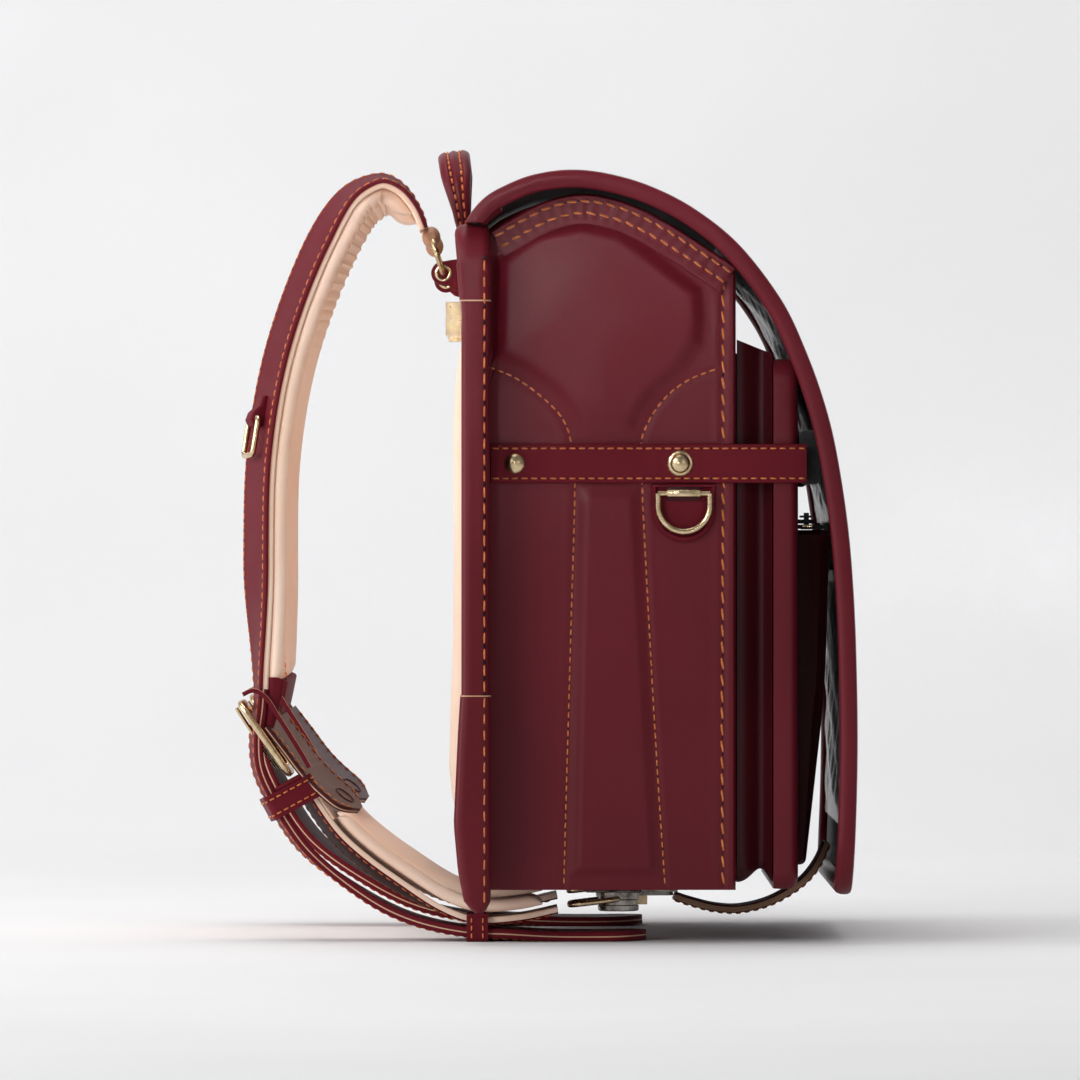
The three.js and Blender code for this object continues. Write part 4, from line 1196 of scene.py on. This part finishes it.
# ---------------------------------------------------------------- shoulder straps
STRAP_POINTS = ((58.2, 340.5), (62.5, 351), (69.8, 360.7), (79.4, 365.5), (90.5, 362.6), (99.7, 355.4),
                (114.1, 330.8), (131.5, 282.6), (140, 234.4), (141.6, 186.2), (140.4, 138), (140.4, 114),
                (142.4, 96), (141.4, 82.5), (136.8, 70.5), (119.4, 43), (89.1, 19.4), (67.4, 8.6),
                (42, 2.6), (20, 1.4), (0, 0.3), (-24, 0.1), (-46, 0.6))
LOWER_POINTS = ((121.5, 75.5), (112.8, 61.6), (103.2, 48.6), (88.8, 35.6), (72, 24), (52.8, 13.6),
                (35.9, 8.6), (14.3, 9.6), (-4, 13.4))
SHIELD_POINTS = ((132.5, 104), (124, 93), (114, 80), (103, 69.5), (91.5, 61))
LOOP_POINTS = ((145.5, 116.6), (141, 118.4), (136.4, 116), (130, 106.5), (123, 95.5), (117.5, 86.5),
               (115.3, 82.4))
SHOULDER_BANK = math.radians(17)
LOW_BANK = math.radians(5)
SHIELD_BANKS = {"left": math.radians(-13), "right": math.radians(13)}  # how far each shield leans
LOWER_BELT_BANK = math.radians(9)
TOP_X = 66
LOW_X = 88


def belt_x(z, s):
    return s * lerp(TOP_X, LOW_X, min(max((335 - z) / 215, 0), 1))


def shoulder_bank(t):
    rise = smoothstep(t, 0, 0.15)
    fall = smoothstep(t, 0.43, 0.55)
    return lerp(SHOULDER_BANK * rise, LOW_BANK * (1 - smoothstep(t, 0.66, 0.78)), fall)


def lower_bank(t):
    return LOWER_BELT_BANK * (1 - smoothstep(t, 0.4, 0.75))


class Belt:
    """A strap's course: at(t, w, n) is the point w across and n out of its outer face."""

    def __init__(self, points, s, bank):
        self.route = Route([(belt_x(z, s), y, z) for y, z in points], centripetal=True)
        self.s = s
        self.bank = bank
        self.length = self.route.length

    def axes(self, t):
        along = self.route.tangent(t)
        out = Vector((1, 0, 0)).cross(along).normalized()
        across = out.cross(along).normalized()
        bank = self.bank(t)
        w = across * math.cos(bank) + out * (self.s * math.sin(bank))
        n = out * math.cos(bank) - across * (self.s * math.sin(bank))
        return self.route.at(t), w, n, along

    def at(self, t, w, n):
        origin, across, out, _ = self.axes(t)
        return origin + across * w + out * n


def belt_loft(belt, t0, t1, steps, section):
    """Rings of a band: section(t) gives its (w, n) points."""
    rings = []
    for i in range(steps + 1):
        t = lerp(t0, t1, i / steps)
        origin, w_axis, n_axis, _ = belt.axes(t)
        rings.append([origin + w_axis * w + n_axis * n for w, n in section(t)])
    return loft(rings)


def belt_row(belt, t0, t1, w, n, steps=140, half_at=None):
    row = []
    for i in range(steps + 1):
        t = lerp(t0, t1, i / steps)
        origin, w_axis, n_axis, _ = belt.axes(t)
        share = half_at(t) if half_at else 1.0
        row.append((origin + w_axis * (w * share) + n_axis * n, n_axis))
    return row


def layered_section(half, layers, radius=0.7):
    """Strap section whose edges have a point at each layer, from the outer face down."""
    right = [(half - radius, layers[0]), (half, layers[0] - radius)]
    right += [(half, n) for n in layers[1:-1]]
    right += [(half, layers[-1] + radius), (half - radius, layers[-1])]
    bottom = [(lerp(half - radius, -half + radius, i / 6), layers[-1]) for i in range(1, 6)]
    left = [(-w, n) for w, n in reversed(right)]
    top = [(lerp(-half + radius, half - radius, i / 6), layers[0]) for i in range(1, 6)]
    return right + bottom + left + top


PAD_T0 = 1 / 56
PAD_T1 = 30 / 56
SLEEVE_T = 0.535


def strap_half(t):
    """Share of the strap's full width left at t: its tail ends in a round tip."""
    return math.sqrt(max(1 - smoothstep(t, 0.962, 1.004) ** 2, 0.02)) if t > 0.962 else 1.0


def make_strap(label, s, belt):
    body = f"strap_loop_{label}"
    layers = (0.0, -1.9, -2.5, -4.5)
    steps = 230

    def section(t):
        return [(w * strap_half(t), n) for w, n in layered_section(20, layers)]

    verts, faces = belt_loft(belt, 0, 1, steps, section)
    ring = section(0.5)
    size = len(ring)

    def layer_material(index):
        if index >= size * steps:
            return 1
        depth = edge_depth(ring, index)
        if depth > layers[1]:
            return 0
        if depth > layers[2]:
            return 1
        return 2 if index // size < SLEEVE_T * steps else 0

    build(f"strap_skin_{label}", verts, faces, body, "leather_edge", [BELT, NATURAL, CREAM],
          [f"shoulder_strap_{label}"], layer_material)
    rows = [belt_row(belt, 0.012, 0.975, w, -0.12, 260, strap_half) for w in (-17.2, 17.2)]
    stitch_rows(f"strap_stitches_{label}", rows, body, 4.6, 3.3, 0.46)

    def pad_section(t):
        end = min(t - PAD_T0, PAD_T1 - t) * belt.length
        soft = math.sqrt(max(1 - (1 - min(end / 9, 1)) ** 2, 0.03))
        travel = t * belt.length
        crest = smoothstep(t, 0.03, 0.07) * (1 - smoothstep(t, 0.17, 0.26))
        wave = math.sin(travel * 1.1 + 0.8 * math.sin(travel * 0.23))
        wrinkle = (wave + 0.4 * math.sin(travel * 2.3)) * crest
        slim = lerp(0.62, 1.0, smoothstep(t, 0.02, 0.1))
        points = []
        for w, n in rounded(20.7, -7.2, 0, 3.5, 0.8, 8, 5):
            inner = smoothstep(-n, 2, 7)
            points.append((w * (0.93 + 0.07 * soft) * slim, -4.6 + (n + 0.45 * wrinkle * inner) * soft))
        return points

    verts, faces = belt_loft(belt, PAD_T0, PAD_T1, 260, pad_section)
    pad = build(f"pad_{label}", verts, faces, body, "cream_pad", [CREAM], [f"strap_pad_{label}"])
    inner_edge = -s if belt.axes(0.3)[1].x > 0 else s
    seam = belt_row(belt, 0.1, PAD_T1 - 0.005, inner_edge * 18.2, -11.7, 120)
    rows = [[(point, -normal) for point, normal in seam]]
    stitch_rows(f"pad_stitches_{label}", rows, body, 4.6, 3.2, 0.42)


def make_sleeve(label, belt):
    """Burgundy sleeve that closes the pad's lower end and tapers towards the buckle."""

    def section(t):
        share = (t - 0.53) / 0.05
        deep = lerp(8.4, 3.2, share) * math.sqrt(max(1 - max(1 - share / 0.06, 0) ** 2, 0.3))
        return [(w, -4.4 + n) for w, n in rounded(lerp(20.9, 19.0, share), -deep, 0, 2.6, 0.4, 8, 4)]

    verts, faces = belt_loft(belt, 0.53, 0.58, 30, section)
    build(f"pad_sleeve_{label}", verts, faces, f"strap_loop_{label}", "leather_panel", [BELT])


def make_strap_ring(label, s, belt):
    """Oval ring at the top, the strap's end rolled round it, and the D ring on its tab."""
    body = f"strap_loop_{label}"
    direction = Vector((0, 5.6, 17)).normalized()
    middle = Vector((s * TOP_X, 51.2, 319)) + direction * 9
    ring = oval_points(12, 9, 7)
    points = [middle + Vector((u, 0, 0)) + direction * v for u, v in ring]
    build(f"ring_wire_{label}", *tube(points, 1.35, closed=True, across=(0, direction.z, -direction.y)), body,
          "aged_brass", [BRASS], [f"strap_ring_{label}"], sharp=60)
    roll_at = middle + direction * 9
    rings = []
    for i in range(13):
        x = lerp(-10.5, 10.5, i / 12)
        edge = math.sqrt(max(1 - (abs(x) / 10.9) ** 6, 0.1))
        rings.append([roll_at + Vector((x, 4.4 * edge * math.cos(a), 5.2 * edge * math.sin(a)))
                      for a in turns(20)])
    build(f"ring_roll_{label}", *loft(rings), body, "cream_pad", [TAN])

    origin, w_axis, n_axis, along = belt.axes(0.3)
    tab = []
    for ahead, low, high in ((-7.2, -0.6, 1.0), (-6.4, -0.6, 2.2), (-2, -0.6, 3.0), (1.5, -0.6, 5.8),
                             (5.2, -0.6, 6.6), (7.6, -0.4, 5.0), (8.2, 1.4, 3.6)):
        tab.append([origin + w_axis * w + n_axis * n + along * ahead
                    for w, n in rounded(5.2, low, high, 0.9, 0, 3, 3)])
    build(f"dring_tab_{label}", *loft(tab), body, "leather_edge", [BELT])
    points = [origin + w_axis * u + n_axis * 3.6 + along * (13 + v) for u, v in oval_points(8, 9, 2.6)]
    ring_name = f"strap_dring_{label}"
    build(f"dring_wire_{label}", *tube(points, 1.4, closed=True, across=n_axis), ring_name, "aged_brass",
          [BRASS], [ring_name], sharp=60)

    ring_dir = Vector((0, 1, -0.12)).normalized()
    middle = Vector((s * LOW_X, -21, 18.6))
    points = [middle + Vector((u, 0, 0)) + ring_dir * v for u, v in oval_points(15, 11.5, 6)]
    wire = tube(points, 1.35, closed=True, across=(0, ring_dir.z, -ring_dir.y))
    build(f"post_ring_wire_{label}", *wire, body, "aged_brass", [BRASS], [f"bottom_ring_{label}"], sharp=60)


def oval_points(half_wide, half_long, corner, arc=7):
    """Outline of a ring with rounded corners, as (u, v) about its middle."""
    wide = half_wide - corner
    long = half_long - corner
    return [(u + corner * math.cos(angle), v + corner * math.sin(angle))
            for u, v, angle in quarter_rounds(-wide, wide, -long, long, arc)]


BUCKLE_TOP = Vector((0, 146.4, 112.4))
BUCKLE_LOW = Vector((0, 124.6, 80.8))


def make_buckle(label, s, belt):
    body = f"strap_loop_{label}"
    direction = (BUCKLE_LOW - BUCKLE_TOP).normalized()
    middle = (BUCKLE_LOW + BUCKLE_TOP) / 2 + Vector((s * LOW_X, 0, 0))
    half = (BUCKLE_LOW - BUCKLE_TOP).length / 2
    normal = Vector((1, 0, 0)).cross(direction).normalized()
    points = [middle + Vector((u, 0, 0)) + direction * v for u, v in oval_points(25, half, 5.4)]
    build(f"buckle_wire_{label}", *tube(points, 1.75, closed=True, sides=16, flat=1.45, across=normal), body,
          "aged_brass", [BRASS], [f"buckle_frame_{label}"], sharp=60)
    rod = []
    for i in range(11):
        rise = 3.7 + 0.3 * math.sin(i / 10 * math.pi)
        rod.append(middle + direction * lerp(-half - 0.6, half - 3.2, i / 10) + normal * rise)
    prong = f"buckle_prong_{label}"
    build(f"prong_wire_{label}", *tube(rod, 1.9, flat=0.52, across=(1, 0, 0)), prong, "aged_brass", [BRASS],
          [prong], sharp=60)

    shield = Belt(SHIELD_POINTS, s, lambda t: SHIELD_BANKS[label])

    def narrow(t):
        return math.sqrt(max(1 - smoothstep(t, 0.74, 1.01) ** 2, 0.02)) if t > 0.74 else 1.0

    shield_layers = (0.0, -0.9, -1.5, -2.9)
    ring = layered_section(21, shield_layers)
    size = len(ring)
    steps = 70
    verts, faces = belt_loft(shield, 0, 1, steps, lambda t: [(w * narrow(t), n) for w, n in ring])

    def shield_material(index):
        if index >= size * steps:
            return 1
        return int(shield_layers[1] > edge_depth(ring, index) > shield_layers[2])

    build(f"shield_skin_{label}", verts, faces, body, "leather_dark", [SHIELD_HIDE, NATURAL],
          [f"buckle_shield_{label}"], shield_material)
    rows = []
    for w in (-18.4, 18.4):
        row = belt_row(shield, 0.05, 0.93, w, -2.92, 60, narrow)
        rows.append([(point, -normal) for point, normal in row])
    stitch_rows(f"shield_stitches_{label}", rows, body, 4.2, 3.0, 0.42)
    oval = [shield.at(0.83 + 0.085 * math.sin(a), 5.0 * math.cos(a), -3.0) for a in turns(28)]
    build(f"shield_oval_{label}", *tube(oval, 0.45, closed=True, sides=8), body, "leather_dark",
          [SHIELD_HIDE])

    loop = Belt(LOOP_POINTS, s, lambda t: 0.0)
    loop_skin = rounded(1.5, -2.2, 0, 0.5, 0, 3, 2)
    strips = []
    for aside in (-22.2, 22.2):
        strip = [(w + aside, n) for w, n in loop_skin]
        strips.append(belt_loft(loop, 0, 1, 40, lambda t, strip=strip: strip))

    def loop_material(index):
        return int(-1.75 < edge_depth(loop_skin, index) < -0.9)

    build(f"buckle_loop_{label}", *join_meshes(*strips), body, "leather_edge", [BELT, NATURAL],
          face_material=loop_material)

    keeper_loft(f"keeper_skin_{label}", belt, 0.642, 21, -21.5, 0.6, 1.7, 12, body,
                [f"keeper_upper_{label}"], BELT)


def keeper_loft(name, belt, t, half, n0, n1, wall, long, body, stands_for, material):
    """Sleeve of leather round a belt, with a row of stitches near each edge."""
    origin, w_axis, n_axis, along = belt.axes(t)
    outer = rounded(half + wall, n0 - wall, n1 + wall, 3.2, 0, 6, 4)
    inner = rounded(half, n0, n1, 1.6, 0, 6, 4)
    rings = []
    for ring, ahead in ((inner, -long / 2), (outer, -long / 2), (outer, -long / 2 + 0.8), (outer, 0),
                        (outer, long / 2 - 0.8), (outer, long / 2), (inner, long / 2)):
        rings.append([origin + w_axis * w + n_axis * n + along * ahead for w, n in ring])
    verts, faces = loft(rings, closed_path=True)
    build(name, verts, faces, body, "leather_edge", [material], stands_for)
    rows = []
    for ahead in (-long / 2 + 2.4, long / 2 - 2.4):
        row = []
        for w, n in outer + outer[:1]:
            facing = 1 if n > (n0 + n1) / 2 else -1
            normal = w_axis * (w / half) ** 5 + n_axis * facing * (1 - abs(w / (half + wall)) ** 8)
            row.append((origin + w_axis * w + n_axis * n + along * ahead, normal.normalized()))
        rows.append(row)
    stitch_rows(f"{name}_stitches", rows, body, 3.6, 2.6, 0.4)


def make_lower_belt(label, s, belt):
    body = f"strap_loop_{label}"
    layers = (0.0, -0.7, -2.0, -3.2)
    steps = 110
    ring = layered_section(18, layers)
    verts, faces = belt_loft(belt, 0, 1, steps, lambda t: ring)

    def lower_material(index):
        return int(index >= len(ring) * steps or edge_depth(ring, index) < -0.6)

    build(f"lower_belt_skin_{label}", verts, faces, body, "leather_edge", [BELT, CREAM],
          [f"lower_belt_{label}"], lower_material)
    rows = [belt_row(belt, 0.02, 0.98, w, -0.12, 100) for w in (-15.4, 15.4)]
    stitch_rows(f"lower_belt_stitches_{label}", rows, body, 4.4, 3.1, 0.42)

    def pad_section(t):
        end = min(t - 4 / 24, 23 / 24 - t) * belt.length
        soft = math.sqrt(max(1 - (1 - min(end / 7, 1)) ** 2, 0.04))
        return [(w * (0.9 + 0.1 * soft), -5.7 + n * soft) for w, n in rounded(19, -5.6, 0, 2.7, 0.5, 8, 5)]

    verts, faces = belt_loft(belt, 4 / 24, 23 / 24, 80, pad_section)
    pad = build(f"low_pad_{label}", verts, faces, body, "cream_pad", [CREAM], [f"lower_pad_{label}"])

    x = s * LOW_X
    outline_out = rounded(22.6, 0.0, 13.2, 2.6, 0, 6, 4)
    outline_in = rounded(21.0, 1.6, 11.6, 1.2, 0, 6, 4)
    count = len(outline_out)
    rings = []
    for ring, y in ((outline_in, 29.4), (outline_out, 29.4), (outline_out, 30.2), (outline_out, 38.8),
                    (outline_out, 39.6), (outline_in, 39.6)):
        rings.append([(x + w, y, z) for w, z in ring])
    verts = [point for ring in rings for point in ring]
    faces = []
    for i in range(len(rings)):
        a = i * count
        b = ((i + 1) % len(rings)) * count
        for j in range(count):
            k = (j + 1) % count
            faces.append((a + j, a + k, b + k, b + j))
    build(f"lower_keeper_skin_{label}", verts, faces, body, "leather_edge", [BELT])
    rows = []
    for y in (31.8, 37.2):
        rows.append([((x - 22.7, y, z), (-1, 0, 0)) for z in np.linspace(1.2, 12, 12)])
        rows.append([((x + 22.7, y, z), (1, 0, 0)) for z in np.linspace(1.2, 12, 12)])
    stitch_rows(f"lower_keeper_stitches_{label}", rows, body, 3.4, 2.5, 0.4)


# ---------------------------------------------------------------- build everything
make_side_panels()
make_trim_bands()
make_side_belts()
make_side_rings()
make_flap()
make_window()
make_binding()
make_cushion()
make_pockets()
make_zip_pocket()
make_tongue()
make_handle()
make_fittings()
for side_label, side in SIDES:
    strap_course = Belt(STRAP_POINTS, side, shoulder_bank)
    lower_course = Belt(LOWER_POINTS, side, lower_bank)
    make_strap(side_label, side, strap_course)
    make_sleeve(side_label, strap_course)
    make_strap_ring(side_label, side, strap_course)
    make_buckle(side_label, side, strap_course)
    make_lower_belt(side_label, side, lower_course)

# CAD nodes whose shape is right get their finish here.
for node_name, material in {
    "back_board": DARK_AND_SHADE, "bottom_panel": PANEL, "front_wall": LINING, "sekan_bracket": BRASS,
    "zipper_slider": BLACK_METAL, "zipper_pull": BLACK_METAL, "lock_body": STEEL,
    "closing_plate": STEEL, "lock_knob": BRASS,
}.items():
    if node_name == "sekan_bracket":
        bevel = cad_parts[node_name].modifiers.new("soft_edges", "BEVEL")
        bevel.width = 0.0012
        bevel.segments = 3
        bevel.limit_method = "ANGLE"
    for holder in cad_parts[node_name].material_slots:
        holder.link = "OBJECT"
        holder.material = material


# ---------------------------------------------------------------- floor and light
def make_floor():
    """Seamless pale backdrop: flat under the bag, curving up behind it."""
    finish = Finish("pale_floor")
    finish.colour(finish.ramp(finish.noise(3, 2), (0.3, (238, 238, 239)), (0.7, (242, 242, 243))))
    material = finish.set(Roughness=0.85, Specular_IOR_Level=0.2)
    profile = [(-7.0, 0.0), (-1.0, 0.0), (0.9, 0.0)]
    for i in range(1, 17):
        angle = math.pi / 2 * i / 16
        profile.append((0.9 + 1.2 * math.sin(angle), 1.2 - 1.2 * math.cos(angle)))
    profile.append((2.1, 5.0))
    verts = []
    for x, z in profile:
        verts += [(x, -5.0, z), (x, 5.0, z)]
    faces = [(2 * i, 2 * i + 1, 2 * i + 3, 2 * i + 2) for i in range(len(profile) - 1)]
    mesh = bpy.data.meshes.new("floor")
    mesh.from_pydata(verts, [], faces)
    mesh.materials.append(material)
    mesh.shade_smooth()
    floor = bpy.data.objects.new("floor", mesh)
    scene.collection.objects.link(floor)


def area_light(name, location, target, size, energy, spread=180):
    light = bpy.data.lights.new(name, "AREA")
    light.spread = math.radians(spread)
    light.shape = "RECTANGLE"
    light.size = size[0]
    light.size_y = size[1]
    light.energy = energy
    obj = bpy.data.objects.new(name, light)
    obj.location = location
    obj.rotation_euler = (Vector(target) - Vector(location)).to_track_quat("-Z", "Y").to_euler()
    scene.collection.objects.link(obj)


make_floor()
area_light("key", (-2.3, 1.9, 1.3), (0, 0, 0.2), (1.3, 1.5), 34)
area_light("left_edge", (-0.3, 2.4, 0.8), (0, 0, 0.2), (0.9, 1.6), 30)
area_light("front_fill", (-3.4, -1.6, 0.9), (0, 0, 0.2), (1.4, 1.4), 6)
area_light("upper_sheen", (-2.6, 0.5, 0.75), (-0.13, 0.0, 0.34), (0.2, 0.2), 0.042, spread=5.5)
area_light("top", (-0.1, 0.2, 2.2), (0, 0, 0.2), (1.5, 1.5), 19)
area_light("backdrop", (0.5, 0.0, 2.6), (1.9, 0, 0.8), (3.0, 1.0), 14.5)
world = bpy.data.worlds.new("studio")
world.use_nodes = True
world.node_tree.nodes["Background"].inputs["Color"].default_value = (1, 1, 1, 1)
world.node_tree.nodes["Background"].inputs["Strength"].default_value = 0.22
scene.world = world
